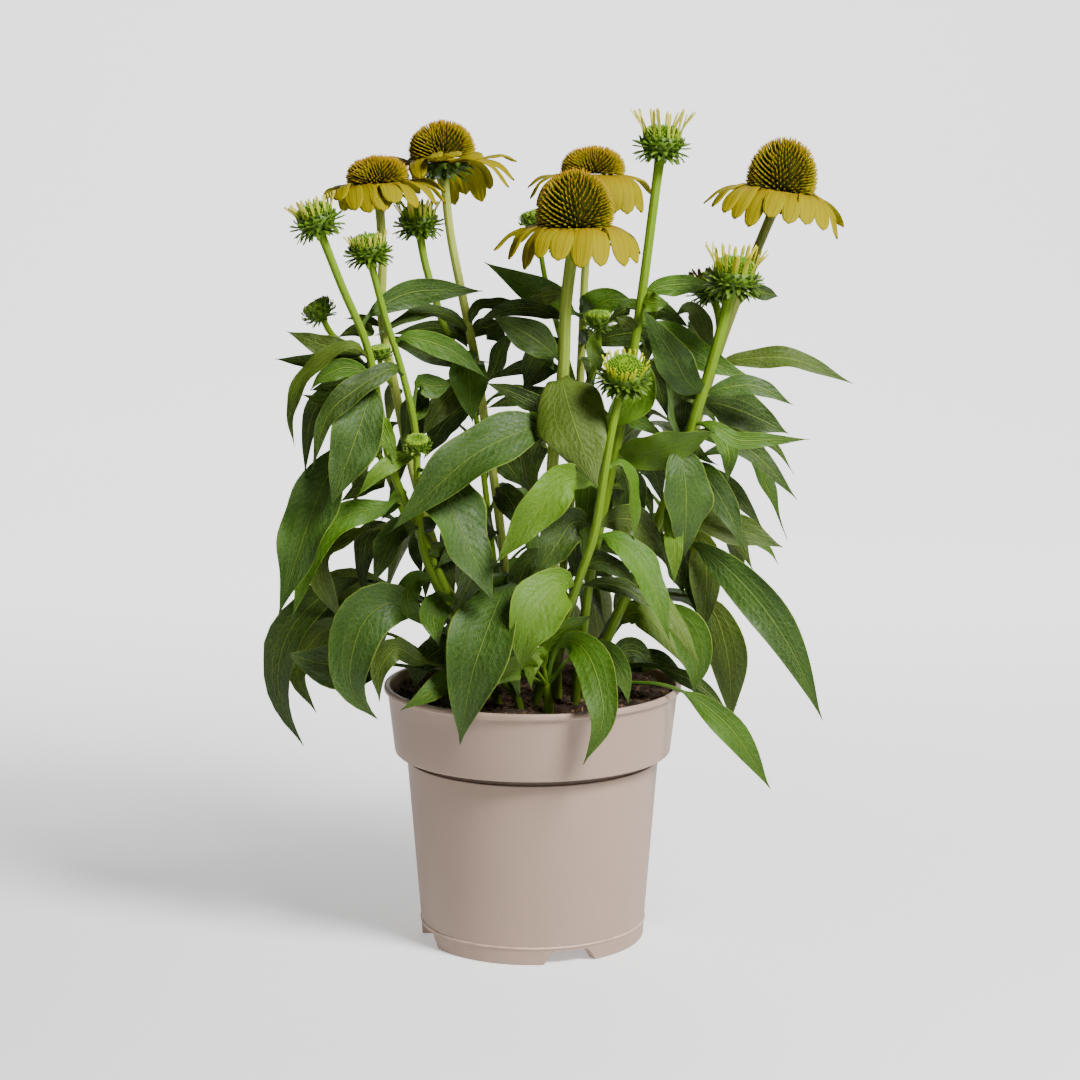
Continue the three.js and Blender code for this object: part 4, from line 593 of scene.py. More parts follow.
class Nodes:
    """Adds nodes to a tree: their kind, their settings, and the values or wires of their sockets."""

    def __init__(self, tree):
        self.tree = tree

    def add(self, kind, settings=None, out=0, **slots):
        node = self.tree.nodes.new(kind)
        for key, value in (settings or {}).items():
            setattr(node, key, value)
        for key, value in slots.items():
            slot = node.inputs[int(key[1:])] if key[1:].isdigit() else node.inputs[key.replace("_", " ")]
            feed(self.tree, slot, value)
        return Wire(self.tree, node.outputs[out])

    def ramp(self, value, stops):
        """A colour for each value, from stops of (place, colour)."""
        node = self.tree.nodes.new("ShaderNodeValToRGB")
        while len(node.color_ramp.elements) < len(stops):
            node.color_ramp.elements.new(0.5)
        for element, (spot, colour) in zip(node.color_ramp.elements, stops):
            element.position, element.color = spot, (*colour[:3], 1)
        feed(self.tree, node.inputs[0], value)
        return Wire(self.tree, node.outputs[0])

    def blend(self, share, first, second):
        """One colour laid over another by a share from 0 to 1."""
        node = self.tree.nodes.new("ShaderNodeMix")
        node.data_type = "RGBA"
        for slot, value in zip((node.inputs[0], node.inputs[6], node.inputs[7]), (share, first, second)):
            feed(self.tree, slot, value if isinstance(value, (Wire, float, int)) else (*value[:3], 1))
        return Wire(self.tree, node.outputs[2])

    def split(self, vector):
        node = self.tree.nodes.new("ShaderNodeSeparateXYZ")
        feed(self.tree, node.inputs[0], vector)
        return [Wire(self.tree, output) for output in node.outputs]

    def join(self, x, y, z):
        return self.add("ShaderNodeCombineXYZ", X=x, Y=y, Z=z)


class Finish(Nodes):
    """A material on the object's own coordinates, with one Principled shader."""

    def __init__(self, name):
        self.material = bpy.data.materials.new(name)
        self.material.use_nodes = True
        super().__init__(self.material.node_tree)
        self.shader = self.tree.nodes["Principled BSDF"]
        self.where = self.add("ShaderNodeTexCoord", out=3)

    def noise(self, scale, detail=3.0, where=None):
        """Clouds; the scale is their number in a metre."""
        return self.add("ShaderNodeTexNoise", Vector=where or self.where, Scale=scale, Detail=detail)

    def cells(self, scale):
        """How far it is to the nearest of scattered points; the scale is their number in a metre."""
        return self.add("ShaderNodeTexVoronoi", Vector=self.where, Scale=scale)

    def mark(self, key):
        """A mark's three values at the point that is shaded."""
        return self.split(self.add("ShaderNodeAttribute", {"attribute_name": key}, 1))

    def set(self, **values):
        for key, value in values.items():
            if key.endswith("Color") and not isinstance(value, Wire):
                value = (*value[:3], 1)
            feed(self.tree, self.shader.inputs[key.replace("_", " ")], value)

    def made(self, colour, rough, specular, height, strength, depth):
        """Sets colour and sheen, and bumps the surface by a height from 0 to 1, depth metres deep."""
        bump = self.add("ShaderNodeBump", Height=height, Strength=strength, Distance=depth)
        self.set(Base_Color=colour, Roughness=rough, Specular_IOR_Level=specular, Normal=bump)
        return self.material


# ---- geometry trees ----
class Tree(Nodes):
    """A Geometry Nodes tree with named inputs, each with the kind of its socket."""

    def __init__(self, name, **inputs):
        super().__init__(bpy.data.node_groups.new(name, "GeometryNodeTree"))
        face = self.tree.interface
        face.new_socket("Geometry", in_out="OUTPUT", socket_type="NodeSocketGeometry")
        kinds = {"Geometry": "Geometry", **inputs}
        self.keys = {
            key: face.new_socket(key, in_out="INPUT", socket_type="NodeSocket" + kind).identifier
            for key, kind in kinds.items()
        }
        group = self.tree.nodes.new("NodeGroupInput")
        self.input = {key: Wire(self.tree, group.outputs[key]) for key in kinds}

    def finish(self, geometry, material):
        """Ends the tree in Realize Instances and Set Material."""
        real = self.add("GeometryNodeRealizeInstances", Geometry=geometry)
        painted = self.add("GeometryNodeSetMaterial", Geometry=real, Material=material)
        output = self.tree.nodes.new("NodeGroupOutput")
        feed(self.tree, output.inputs[0], painted)

    def made(self, piece, **values):
        """Runs the tree on a piece and makes the result its plain mesh."""
        modifier = piece.modifiers.new(self.tree.name, "NODES")
        modifier.node_group = self.tree
        for key, value in values.items():
            modifier[self.keys[key]] = value
        evaluate(piece)


def evaluate(piece):
    """Makes the result of a piece's modifiers its plain mesh."""
    graph = bpy.context.evaluated_depsgraph_get()
    mesh = bpy.data.meshes.new_from_object(
        piece.evaluated_get(graph), preserve_all_data_layers=True, depsgraph=graph)
    piece.modifiers.clear()
    piece.data = mesh


def template(name, skin):
    """A small mesh that a tree repeats; it stands in no collection."""
    piece = skin.piece(name, [])
    bpy.context.scene.collection.objects.unlink(piece)
    return piece


def spiral_tree():
    """Spines or florets over a dome, each turned the golden angle from the last."""
    tree = Tree("Spiral head", Spine="Object", Material="Material", Count="Int", Radius="Float",
                Height="Float", Lowest="Float", Bulge="Float", Lean="Float", Crown="Float", Seed="Int")
    have = tree.input
    points = tree.add("GeometryNodePoints", Count=have["Count"])
    index = tree.add("GeometryNodeInputIndex")
    share = (index + 0.5) / have["Count"]
    turn = index * math.radians(GOLDEN_TURN)
    cosine = 1.0 - share * (1.0 - have["Lowest"])
    sine = (1.0 - cosine * cosine).math("SQRT")
    out = sine ** have["Bulge"] * have["Radius"]
    up = (cosine - have["Lowest"]) * have["Height"]
    spot = tree.join(out * turn.math("COSINE"), out * turn.math("SINE"), up)
    placed = tree.add("GeometryNodeSetPosition", Geometry=points, Position=spot)
    jitter = tree.add("FunctionNodeRandomValue", {"data_type": "FLOAT"}, 1, _2=-0.12, _3=0.12,
                      Seed=have["Seed"])
    aim = tree.join(sine * turn.math("COSINE") + jitter, sine * turn.math("SINE") + jitter,
                    cosine + have["Lean"])
    ranked = tree.add("GeometryNodeStoreNamedAttribute", {"data_type": "FLOAT_VECTOR", "domain": "POINT"},
                      Geometry=placed, Name="rank", Value=tree.join(share, jitter, 0.0))
    turned = tree.add("FunctionNodeAlignRotationToVector", {"axis": "Z"}, Vector=aim)
    size = 1.0 - have["Crown"] * (1.0 - share) ** 2.0 + jitter
    what = tree.add("GeometryNodeObjectInfo", out=4, Object=have["Spine"])
    copies = tree.add("GeometryNodeInstanceOnPoints", Points=ranked, Instance=what, Rotation=turned,
                      Scale=tree.join(size, size, size))
    tree.finish(copies, have["Material"])
    return tree


def scatter_tree(name, upright):
    """Copies of a template scattered over the faces of a piece, standing out of them or lying."""
    tree = Tree(name, Copy="Object", Material="Material", Density="Float", Smallest="Float", Seed="Int")
    have = tree.input
    points = tree.add("GeometryNodeDistributePointsOnFaces", Mesh=have["Geometry"], Density=have["Density"],
                      Seed=have["Seed"])
    rotation = Wire(tree.tree, points.socket.node.outputs["Rotation"])
    tilt = (0.5, 0.5, HALF_TURN) if upright else (HALF_TURN, 0.9, HALF_TURN)
    spin = tree.add("FunctionNodeRandomValue", {"data_type": "FLOAT_VECTOR"}, _0=[-a for a in tilt], _1=tilt,
                    Seed=have["Seed"])
    euler = tree.add("FunctionNodeEulerToRotation", Euler=spin)
    turned = tree.add("FunctionNodeRotateRotation", {"rotation_space": "LOCAL"}, Rotation=rotation,
                      Rotate_By=euler)
    size = tree.add("FunctionNodeRandomValue", {"data_type": "FLOAT"}, 1, _2=have["Smallest"], _3=1.0,
                    Seed=have["Seed"] + 1.0)
    what = tree.add("GeometryNodeObjectInfo", out=4, Object=have["Copy"])
    copies = tree.add("GeometryNodeInstanceOnPoints", Points=points, Instance=what, Rotation=turned,
                      Scale=tree.join(size, size, size))
    tree.finish(copies, have["Material"])
    return tree


# ---- settings that a user may change ----
def colour(name, value, text):
    return FloatVectorProperty(name=name, description=text, default=value, size=3, min=0, max=1,
                               subtype="COLOR")


class FoliageSettings(bpy.types.PropertyGroup):
    """Leaves, stems and bracts."""

    stations: IntProperty(name="Stations", description="Steps along each leaf", default=26, min=8)
    columns: IntProperty(name="Columns", description="Steps across each leaf", default=10, min=4)
    dark: colour("Dark leaf", (0.015, 0.036, 0.001), "Old leaf in the shade")
    middle: colour("Leaf", (0.034, 0.095, 0.001), "Grown leaf")
    young: colour("Young leaf", (0.082, 0.205, 0.001), "Bright young leaf")
    olive: colour("Olive leaf", (0.066, 0.088, 0.003), "Leaf that shows its underside")
    under: colour("Underside", (0.085, 0.125, 0.010), "Paler lower face of a leaf")
    blue: colour("Blue-green leaf", (0.022, 0.060, 0.004), "Large cool leaf")
    vein: colour("Vein", (0.20, 0.29, 0.02), "Midrib and side veins")
    stem: colour("Stem", (0.135, 0.25, 0.001), "Flower stem")
    old_stem: colour("Old stem", (0.10, 0.115, 0.02), "Foot of a stem")
    pale_stem: colour("Pale stem", (0.34, 0.40, 0.06), "Stem of an open bloom")
    bract: colour("Bract", (0.075, 0.16, 0.003), "Bracts under the heads")


class FlowerSettings(bpy.types.PropertyGroup):
    """Petals, cones, rays and discs."""

    petal: colour("Petal", (0.22, 0.195, 0.0), "Open petal")
    petal_base: colour("Petal base", (0.21, 0.128, 0.0), "Petal near the cone")
    petal_tip: colour("Petal tip", (0.25, 0.228, 0.0), "Petal near its tip")
    # Painted light: the lower face of a petal, which lies in shade, is given a paler colour than the upper.
    petal_under_painted_light: colour("Petal underside", (0.36, 0.32, 0.003), "Paler lower face of a petal")
    spines: IntProperty(name="Spines", description="Spines on an open cone", default=540, min=20)
    florets: IntProperty(name="Florets", description="Florets on a bud's disc", default=190, min=20)
    spine_length: FloatProperty(name="Spine", description="Length of a spine", default=5.9 * MM,
                                unit="LENGTH", precision=4)
    spine_tip: colour("Spine tip", (0.47, 0.205, 0.0), "Tip of a spine")
    spine_base: colour("Spine base", (0.022, 0.05, 0.002), "Base of a spine")
    ray: colour("Ray", (0.50, 0.47, 0.06), "Young ray of a bud")
    disc: colour("Disc", (0.11, 0.26, 0.003), "Disc of a bud")


class PotSettings(bpy.types.PropertyGroup):
    """Pot and soil."""

    sides: IntProperty(name="Sides", description="Steps round the pot", default=168, min=32)
    shell: colour("Pot", (0.34, 0.238, 0.18), "Moulded plastic")
    peat: colour("Peat", (0.035, 0.022, 0.014), "Moist peat")
    bark: colour("Bark", (0.16, 0.09, 0.05), "Bark chips and fibres")
    chips: FloatProperty(name="Chips", description="Chips on a square metre of soil", default=42000)


class StageSettings(bpy.types.PropertyGroup):
    """Floor, backdrop and lights."""

    floor: colour("Floor", (0.8, 0.8, 0.8), "Plain pale sweep")
    key: FloatProperty(name="Key light", description="Watts of the large soft light", default=76.0)
    fill: FloatProperty(name="Fill light", description="Watts of the light on the left", default=2.0)
    sky: FloatProperty(name="Sky", description="Strength of the surrounding light", default=0.05)
    glow: FloatProperty(name="Glow", description="Light given off by the sweep", default=2.3)


def settings():
    return bpy.context.scene.coneflower


def lit(tint, share):
    """A colour made darker or lighter."""
    return [min(v * share, 1) for v in tint]


class ConeflowerSettings(bpy.types.PropertyGroup):
    """Everything that can be set."""

    foliage: PointerProperty(type=FoliageSettings)
    flower: PointerProperty(type=FlowerSettings)
    pot: PointerProperty(type=PotSettings)
    stage: PointerProperty(type=StageSettings)


# ---- finishes ----
def leaf_finish():
    """Green blade with a pale midrib, three arching nerves, net veins, a thin margin and specks."""
    have, f = settings().foliage, Finish("leaf")
    across, along, tone = f.mark("grain")
    size, wide, seed = f.mark("span")
    under = 1.0 - tone.between(-0.04, -0.01)
    tone = tone + under * UNDER
    base = f.ramp(tone, [(0.0, have.dark), (0.2, have.middle), (0.42, have.young), (0.66, have.olive),
                         (0.9, have.blue)])
    cloud = f.noise(38.0, 4.0)
    base = f.blend(cloud.between(0.35, 0.75) * 0.4, base, f.blend(0.5, base, have.young))
    base = f.blend((seed * 7.13).math("FRACT") * 0.3, base, have.dark)
    # Painted shade: each blade is darkened towards its tip.
    base = f.blend(along.between(0.35, 1.0) * 0.42, base, have.dark)
    base = f.blend(under * 0.6, base, have.under)
    side = across.math("ABSOLUTE")
    rib = 1.0 - (side * wide).between(0.3, 1.0)
    arch = (along * HALF_TURN).math("SINE") ** 0.7 * 0.46
    nerve = 1.0 - ((side - arch).math("ABSOLUTE") * wide).between(0.1, 0.6)
    inner = 1.0 - ((side - arch * 0.5).math("ABSOLUTE") * wide).between(0.1, 0.5)
    nerve = (nerve + inner * 0.6).clamped()
    slant = (along * size - side * wide * 0.75) / 6.5
    wander = f.noise(130.0, 3.0)
    wave = ((slant + wander * 2.2) * (2 * HALF_TURN)).math("SINE")
    net = wave.between(0.8, 1.0) * (1.0 - side * 0.6)
    web = f.add("ShaderNodeTexVoronoi", {"feature": "DISTANCE_TO_EDGE"}, 0, Vector=f.where, Scale=360.0)
    web = 1.0 - web.between(0.0, 0.09)
    light = f.blend(0.5, base, have.vein)
    shade = f.blend((rib + nerve * 0.5 + net * 0.22 + web * 0.25).clamped(), base, light)
    margin = side.between(0.93, 0.985) * 0.5
    shade = f.blend(margin, shade, have.vein)
    speck = f.cells(170.0)
    speck = (1.0 - speck.between(0.03, 0.1)) * f.noise(25.0).between(0.5, 0.62)
    shade = f.blend(speck * 0.65, shade, (0.05, 0.035, 0.012))
    swell = f.noise(110.0, 2.0)
    height = 0.6 - rib * 0.45 - nerve * 0.3 - wave * 0.06 - web * 0.1 + cloud * 0.1 + swell * 0.22
    return f.made(shade, 0.46 + cloud * 0.2, 0.32, height, 0.7, 0.0015)


def stem_finish():
    """Pale green skin with fine ridges and dark specks, darker and olive at the foot."""
    have, f = settings().foliage, Finish("stem")
    turn, along, tone = f.mark("grain")
    foot = along.between(0.35, 1.0)
    base = f.ramp(tone, [(0.0, have.stem), (0.5, have.pale_stem), (1.0, have.old_stem)])
    base = f.blend(foot * 0.6, base, (0.035, 0.075, 0.006))
    ridge = (turn * 9.0 * HALF_TURN).math("SINE") * 0.5 + 0.5
    base = f.blend(ridge * 0.3, base, have.old_stem)
    speck = f.cells(420.0)
    speck = (1.0 - speck.between(0.08, 0.2)) * f.noise(90.0).between(0.45, 0.6)
    base = f.blend(speck * 0.7, base, (0.06, 0.045, 0.015))
    return f.made(base, 0.5 + ridge * 0.1, 0.25, ridge * 0.6 + speck * 0.4, 0.5, 0.0004)


def bract_finish():
    """Narrow green bracts, lighter towards their tips."""
    have, f = settings().foliage, Finish("bract")
    across, along, tone = f.mark("grain")
    streak = f.noise(300.0, 2.0)
    base = f.blend(along.between(0.3, 1.0) * 0.7, have.bract, have.stem)
    base = f.blend(tone * 1.6, base, (0.022, 0.036, 0.004))
    base = f.blend(streak.between(0.4, 0.8) * 0.35, base, have.dark)
    rib = 1.0 - across.math("ABSOLUTE").between(0.05, 0.3)
    base = f.blend(rib * 0.3, base, have.vein)
    return f.made(base, 0.55, 0.35, streak * 0.6 + rib * 0.4, 0.5, 0.0004)


def petal_finish():
    """Bright yellow, warmer near the cone, with painted shade in the grooves and a painted highlight at the
    tip, a faint olive tint that varies from petal to petal, and a lower face made paler as painted light.
    """
    have, f = settings().flower, Finish("petal")
    across, along, tone = f.mark("grain")
    under = 1.0 - tone.between(-0.04, -0.01)
    groove = (across * 3.0 * HALF_TURN).math("COSINE") * -0.5 + 0.5
    vein = (across * 17.0).math("COSINE").between(0.55, 1.0)
    base = f.blend(1.0 - along.between(0.1, 0.55), have.petal, have.petal_base)
    # Painted highlight: each petal is lightened towards its tip.
    base = f.blend(along.between(0.8, 1.0) * 0.7, base, have.petal_tip)
    # Painted shade: the grooves are darkened towards the warm base colour.
    base = f.blend(groove * 0.42, base, have.petal_base)
    base = f.blend(vein * 0.12, base, have.petal_base)
    cloud = f.noise(120.0, 3.0)
    base = f.blend(cloud.between(0.55, 0.85) * 0.25, base, have.petal_tip)
    base = f.blend(tone * 0.6, base, (0.17, 0.13, 0.004))
    # Painted light: the lower face, which lies in shade, is made paler.
    base = f.blend(under * 0.7, base, have.petal_under_painted_light)
    return f.made(base, 0.6, 0.06, 1.0 - groove * 0.6 - vein * 0.3, 0.8, 0.0006)


def spine_finish():
    """Spines green at the base, then yellow, then amber at the tip; browner low on the cone."""
    have, f = settings().flower, Finish("spine")
    _, along, _ = f.mark("grain")
    rank, jitter, _ = f.mark("rank")
    tint = f.ramp(along, [(0.0, have.spine_base), (0.35, (0.10, 0.14, 0.002)), (0.62, (0.32, 0.24, 0.0)),
                          (1.0, have.spine_tip)])
    low = f.blend(rank.between(0.45, 0.95) * along.between(0.5, 1.0) * 0.8, tint, (0.36, 0.30, 0.0))
    top = f.blend((1.0 - rank.between(0.0, 0.5)) * along.between(0.2, 0.7) * 0.75, low, (0.39, 0.155, 0.0))
    base = f.blend(jitter.math("ABSOLUTE") * 2.5, top, (0.44, 0.22, 0.0))
    return f.made(base, 0.5, 0.15, f.noise(700.0), 0.3, 0.0002)


def core_finish(name, tint):
    """The dense middle of a head, seen between its spines or florets."""
    f = Finish(name)
    cell = f.cells(450.0)
    return f.made(f.blend(cell.between(0.1, 0.6), lit(tint, 0.35), tint), 0.8, 0.05, 1.0 - cell, 0.8, 0.0006)


def ray_finish(name, tint):
    """Thin young ray, greener at its base and faintly lined."""
    f = Finish(name)
    across, along, _ = f.mark("grain")
    line = (across * 12.0).math("COSINE").between(0.4, 1.0)
    base = f.blend(1.0 - along.between(0.1, 0.7), tint, (0.24, 0.33, 0.01))
    base = f.blend(line * 0.2, base, (0.30, 0.28, 0.01))
    return f.made(base, 0.55, 0.2, 1.0 - line * 0.5, 0.5, 0.0003)


def disc_finish():
    """Small florets, lime green with paler tips."""
    have, f = settings().flower, Finish("floret")
    _, along, _ = f.mark("grain")
    rank, _, _ = f.mark("rank")
    base = f.blend(along.between(0.3, 1.0), have.disc, (0.27, 0.42, 0.003))
    base = f.blend(1.0 - rank.between(0.0, 0.5), base, (0.13, 0.27, 0.01))
    return f.made(base, 0.5, 0.5, f.noise(900.0), 0.3, 0.0002)


def hair_finish():
    """Short stiff hairs, pale green with darker feet."""
    f = Finish("hair")
    _, along, _ = f.mark("grain")
    base = f.blend(along.between(0.0, 0.5), (0.08, 0.10, 0.01), (0.14, 0.24, 0.02))
    return f.made(base, 0.5, 0.5, along, 0.1, 0.0001)


def pot_finish():
    """Satin plastic: flow marks, scuffs low down, a dusty rim, painted shade in the gap under the collar and
    a pale moulding line.
    """
    have, f = settings().pot, Finish("pot_plastic")
    x, y, z = f.split(f.where)
    cloud = f.noise(16.0, 5.0)
    fine = f.noise(900.0, 2.0)
    stretched = f.add("ShaderNodeVectorMath", {"operation": "MULTIPLY"}, Vector=f.where, _1=(1.0, 1.0, 0.06))
    flow = f.noise(160.0, 3.0, stretched)
    base = f.blend(cloud.between(0.35, 0.75) * 0.22, have.shell, lit(have.shell, 0.86))
    base = f.blend(flow.between(0.5, 0.8) * 0.10, base, lit(have.shell, 1.16))
    scuff = f.noise(420.0, 2.0, stretched)
    scuff = scuff.between(0.66, 0.74) * (1.0 - z.between(0.0, 0.09)) * 0.5
    base = f.blend(scuff, base, lit(have.shell, 1.3))
    dirt = z.between(0.150, 0.166) * f.noise(60.0).between(0.5, 0.72)
    base = f.blend(dirt * 0.25, base, have.bark)
    reach = (x * x + y * y).math("SQRT")
    # Painted shade: the recess under the collar is darkened towards the peat colour.
    gap = z.between(0.1155, 0.1175) * (1.0 - z.between(0.1213, 0.1225))
    gap = gap * (1.0 - reach.between(0.0812, 0.0845))
    base = f.blend(gap * 0.8, base, have.peat)
    line = (z * 1000.0 - 11.2 + f.noise(220.0, 2.0) * 0.9 - 0.45).math("ABSOLUTE")
    line = (1.0 - line.between(0.25, 0.6)) * f.noise(70.0, 2.0).between(0.3, 0.5)
    base = f.blend(line * 0.8, base, lit(have.shell, 1.9))
    return f.made(base, 0.46 + cloud * 0.14 + scuff * 0.2, 0.42, fine * 0.5 + flow * 0.5, 0.25, 0.0002)


def soil_finish(name, tint, other):
    """Crumbly peat, or a chip of bark in it."""
    f = Finish(name)
    crumb = f.cells(520.0)
    cloud = f.noise(110.0, 4.0)
    base = f.blend(cloud.between(0.4, 0.68), tint, other)
    base = f.blend(crumb.between(0.0, 0.35), lit(tint, 0.3), base)
    return f.made(base, 0.92, 0.2, 1.0 - crumb * 0.7 + cloud * 0.4, 0.9, 0.0012)


def sweep_finish(tint, glow):
    """Matte paper that glows, as painted light, in a wedge under and behind the plant that widens to the
    back.
    """
    f = Finish("sweep")
    x, y, _ = f.split(f.where)
    # Painted light: the share of the sweep that glows, in a wedge that widens to the back.
    wedge = (y * 0.22 + 0.38) - x.math("ABSOLUTE")
    share = (y.between(-0.3, 1.4) * 0.8 + 0.2) * y.between(-0.4, -0.27) * wedge.between(-0.2, 0.0)
    light = f.blend(share, (0.0, 0.0, 0.0), tint)
    f.set(Base_Color=tint, Roughness=0.9, Specular_IOR_Level=0.1, Emission_Color=light,
          Emission_Strength=glow)
    return f.material


# ---- where the leaves are ----
def vertices_of(node):
    """A tree of a solid's points, in mm."""
    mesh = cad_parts[node].data
    tree = kdtree.KDTree(len(mesh.vertices))
    for i, vertex in enumerate(mesh.vertices):
        tree.insert(vertex.co / MM, i)
    tree.balance()
    return tree


INNER_FACE = unit(np.array((0.1, -0.9, 0.25)))  # the side that the inner leaves face


def standing_leaves(coarse):
    """Every leaf, bent clear as its solid is: node, midrib, width, side it faces, bare share, tone."""
    solids = {node: vertices_of(node + "_leafy") for node in set(NODE_OF.values())}

    def stands(node, tip):
        return solids[node].find(tip)[2] < NEAR

    for name, height, spots, width, face, bare, tone in LEAVES:
        root = on_stem(coarse, name, height)
        for bend in BENDS:
            midrib = [root] + [
                place((x, h, depth + bend * (i + 1) / len(spots))) for i, (x, h, depth) in enumerate(spots)]
            if stands(NODE_OF[name], midrib[-1]):
                out = (midrib[-1] - root) * (1, 1, 0)
                yield NODE_OF[name], midrib, width, unit((0, -face, 1 - face) + unit(out) * 0.3), bare, tone
                break
    for name, height, spots, width, tone in INNER_LEAVES:
        root = on_stem(coarse, name, height)
        yield NODE_OF[name], [root] + [place(spot) for spot in spots], width, INNER_FACE, 0.1, tone
    for name, count, first, low, high, longest, shortest in SPIRALS:
        for i in range(count):
            share = i / (count - 1)
            root = on_stem(coarse, name, low + (high - low) * share)
            size = (longest + (shortest - longest) * share) * (1 + 0.1 * math.sin(i * 2.4 + first))
            for more in TURNS:
                out = level(math.radians(first + i * GOLDEN_TURN + more))
                midrib = [root] + [root + out * a * size + (0, 0, b * size) for a, b in SPIRAL_ROUTE]
                if stands(name, midrib[-1]):
                    hint = unit(out * 0.6 + (0, 0, 0.75))
                    yield name, midrib, size * SPIRAL_WIDTH, hint, 0.2, SPIRAL_TONES[i % 3]
                    break
    for name, _, first, *_ in SPIRALS:
        for i in range(TIP_LEAVES if name.startswith("shoot") else 0):
            out, size = level(math.radians(first + 70 + i * GOLDEN_TURN)), TIP_LENGTH - TIP_LESS * i
            midrib = [coarse[name][0] + out * a * size + (0, 0, b * size - 3) for a, b in TIP_ROUTE]
            yield name, midrib, size * TIP_WIDTH, unit(out * 0.8 + (0, 0, 0.5)), 0.1, 1


# The finishes of a leafy piece, in order, and the tones of the stems that aren't plain green.
LEAF_PAINT, STEM_PAINT, BRACT_PAINT = 0, 1, 2
STEM_TONES = {"bloom1": 0.5, "bloom2": 0.55, "bloom3": 0.25, "bloom4": 0.45, "bloom5": 0.9, "bud4": 0.05}


# ---- pieces of the plant ----
# A leaf, in mm: its petiole's radius, and its thickness, at the root, where the blade starts, in the
# blade and at the tip.
PETIOLE, LEAF_THICK = (1.5, 1.1, 0.5, 0.12), (2.0, 1.7, 0.75, 0.5)
LEAF_SPREAD = 1.02  # a blade's width in terms of its solid's
LEAF_WAVE = 6.283  # one wave of its margin, in radians


def grow_leaf(skin, midrib, width, hint, bare, tone, seed):
    """A thin folded blade on its petiole, waved at the margins and arched across."""
    have = settings().foliage
    shares = np.linspace(0, 1, have.stations)
    points = smooth(midrib, shares)
    s = np.clip((shares - bare) / (1 - bare), 0, 1)
    half = width / 2 * LEAF_SPREAD * np.sin(math.pi * s**0.78) ** (0.8 + 0.5 * s)
    petiole = np.interp(shares, (0, bare + 0.05, 0.6, 1), PETIOLE)
    halves = np.maximum(np.hypot(half, petiole * (1 - s)), 0.12)
    thick = np.interp(shares, (0, bare, bare + 0.2, 1), LEAF_THICK)
    rng = random.Random(seed * 7919)
    phase, beat, curl = rng.uniform(0, 6.3), rng.uniform(2.2, 3.6), rng.uniform(0.10, 0.20)
    aside = unit(np.cross(midrib[-1] - midrib[0], hint))
    bank = rng.uniform(-0.45, 0.45) * np.sin(shares * math.pi)[:, None] * aside

    def lift(v, share):
        blade = half[:, None]
        fold = 0.30 * blade * (np.abs(v) ** 1.25)
        wave = curl * blade * np.sin(share * beat * LEAF_WAVE + phase + np.sign(v) * 0.9) * v**2
        swell = 0.055 * blade * np.sin(np.abs(v) * math.pi * 2) - 0.06 * blade * np.abs(v) ** 4
        return fold + wave + swell

    ribbon(skin, points, hint + bank, halves, lift, thick, have.columns, LEAF_PAINT, tone / 4, rng.random(),
           sway=0.07, margin=1.0)


STEM_RING = 5  # mm from one ring of a stem to the next
STEM_SPREAD = 0.94  # a stem's radius in terms of its solid's, which has few sides


def grow_stem(skin, line, first, last, tone, seed):
    """A ribbed stem from its head down, thicker under the head."""
    count = max(12, int(gaps(line).sum() / STEM_RING))
    shares = np.linspace(0, 1, count)
    flare = 1 + (0.5 * np.exp(-shares * count * STEM_RING / 7.0) if first > 2 else 0)
    radii = (first + (last - first) * shares) * STEM_SPREAD * flare
    tube(skin, smooth(line, shares), radii, 16, STEM_PAINT, tone, seed, ribs=0.025)


def head_frame(spot, lean):
    """The turn and place of a head that stands on z = 0 about its own axis, in mm."""
    turn = Vector((0, 0, 1)).rotation_difference(Vector(axis_of(lean)))
    return Matrix.Translation(Vector(place(spot))) @ turn.to_matrix().to_4x4()


def turned(matrix, points):
    m = np.array(matrix)
    return np.asarray(points) @ m[:3, :3].T + m[:3, 3]


UPRIGHT = Matrix.Identity(4)  # for bodies about the pot's axis


def round_body(skin, matrix, profile, sides, paint=0, tone=0.0):
    """A solid of revolution through (radius, height) rows, about the head's axis."""
    turn = turns(sides)
    circle = np.stack((np.cos(turn), np.sin(turn), np.zeros(sides)), axis=-1)
    rings = np.stack([circle * max(r, 0.05) + (0, 0, z) for r, z in profile])
    share = np.linspace(0, 1, len(profile))[:, None]
    grain = np.stack(np.broadcast_arrays(turn[None, :], share, tone), axis=-1)
    skin.loft(turned(matrix, rings), paint, grain)


BLADE_SHARES = np.array((0, 0.18, 0.36, 0.54, 0.72, 0.87, 1))  # stations along a bract or ray


def ring_of_blades(skin, matrix, rows, count, wide, paint, thick, start, tone, seed, columns=4,
                   taper=(0.75, 1.0, 0.55, 0.06)):
    """Narrow pointed blades round a head, each near the route that (radius, height) rows give."""
    rng = random.Random(seed)
    (r0, z0), *rest = rows
    halves = wide / 2 * np.interp(BLADE_SHARES, (0, 0.35, 0.85, 1), taper)
    for i in range(count):
        turn = start + (i + rng.uniform(-0.18, 0.18)) / count * 2 * math.pi
        stretch, bend = rng.uniform(0.86, 1.06), rng.uniform(-0.12, 0.12)
        out = level(turn)
        side = np.array((-out[1], out[0], 0))
        route = [out * r0 + (0, 0, z0)] + [
            out * (r0 + (r - r0) * stretch) + side * bend * k * (r - r0) + (0, 0, z0 + (z - z0) * stretch)
            for k, (r, z) in enumerate(rest, 1)]
        points = turned(matrix, smooth(route, BLADE_SHARES))
        hint = np.array(matrix)[:3, :3] @ (out * 0.75 + (0, 0, 0.66))
        ribbon(skin, points, hint, halves, lambda v, share: -0.10 * wide * (1 - v**2), thick, columns, paint,
               tone + rng.uniform(0, 0.25), rng.random(), margin=0.5)


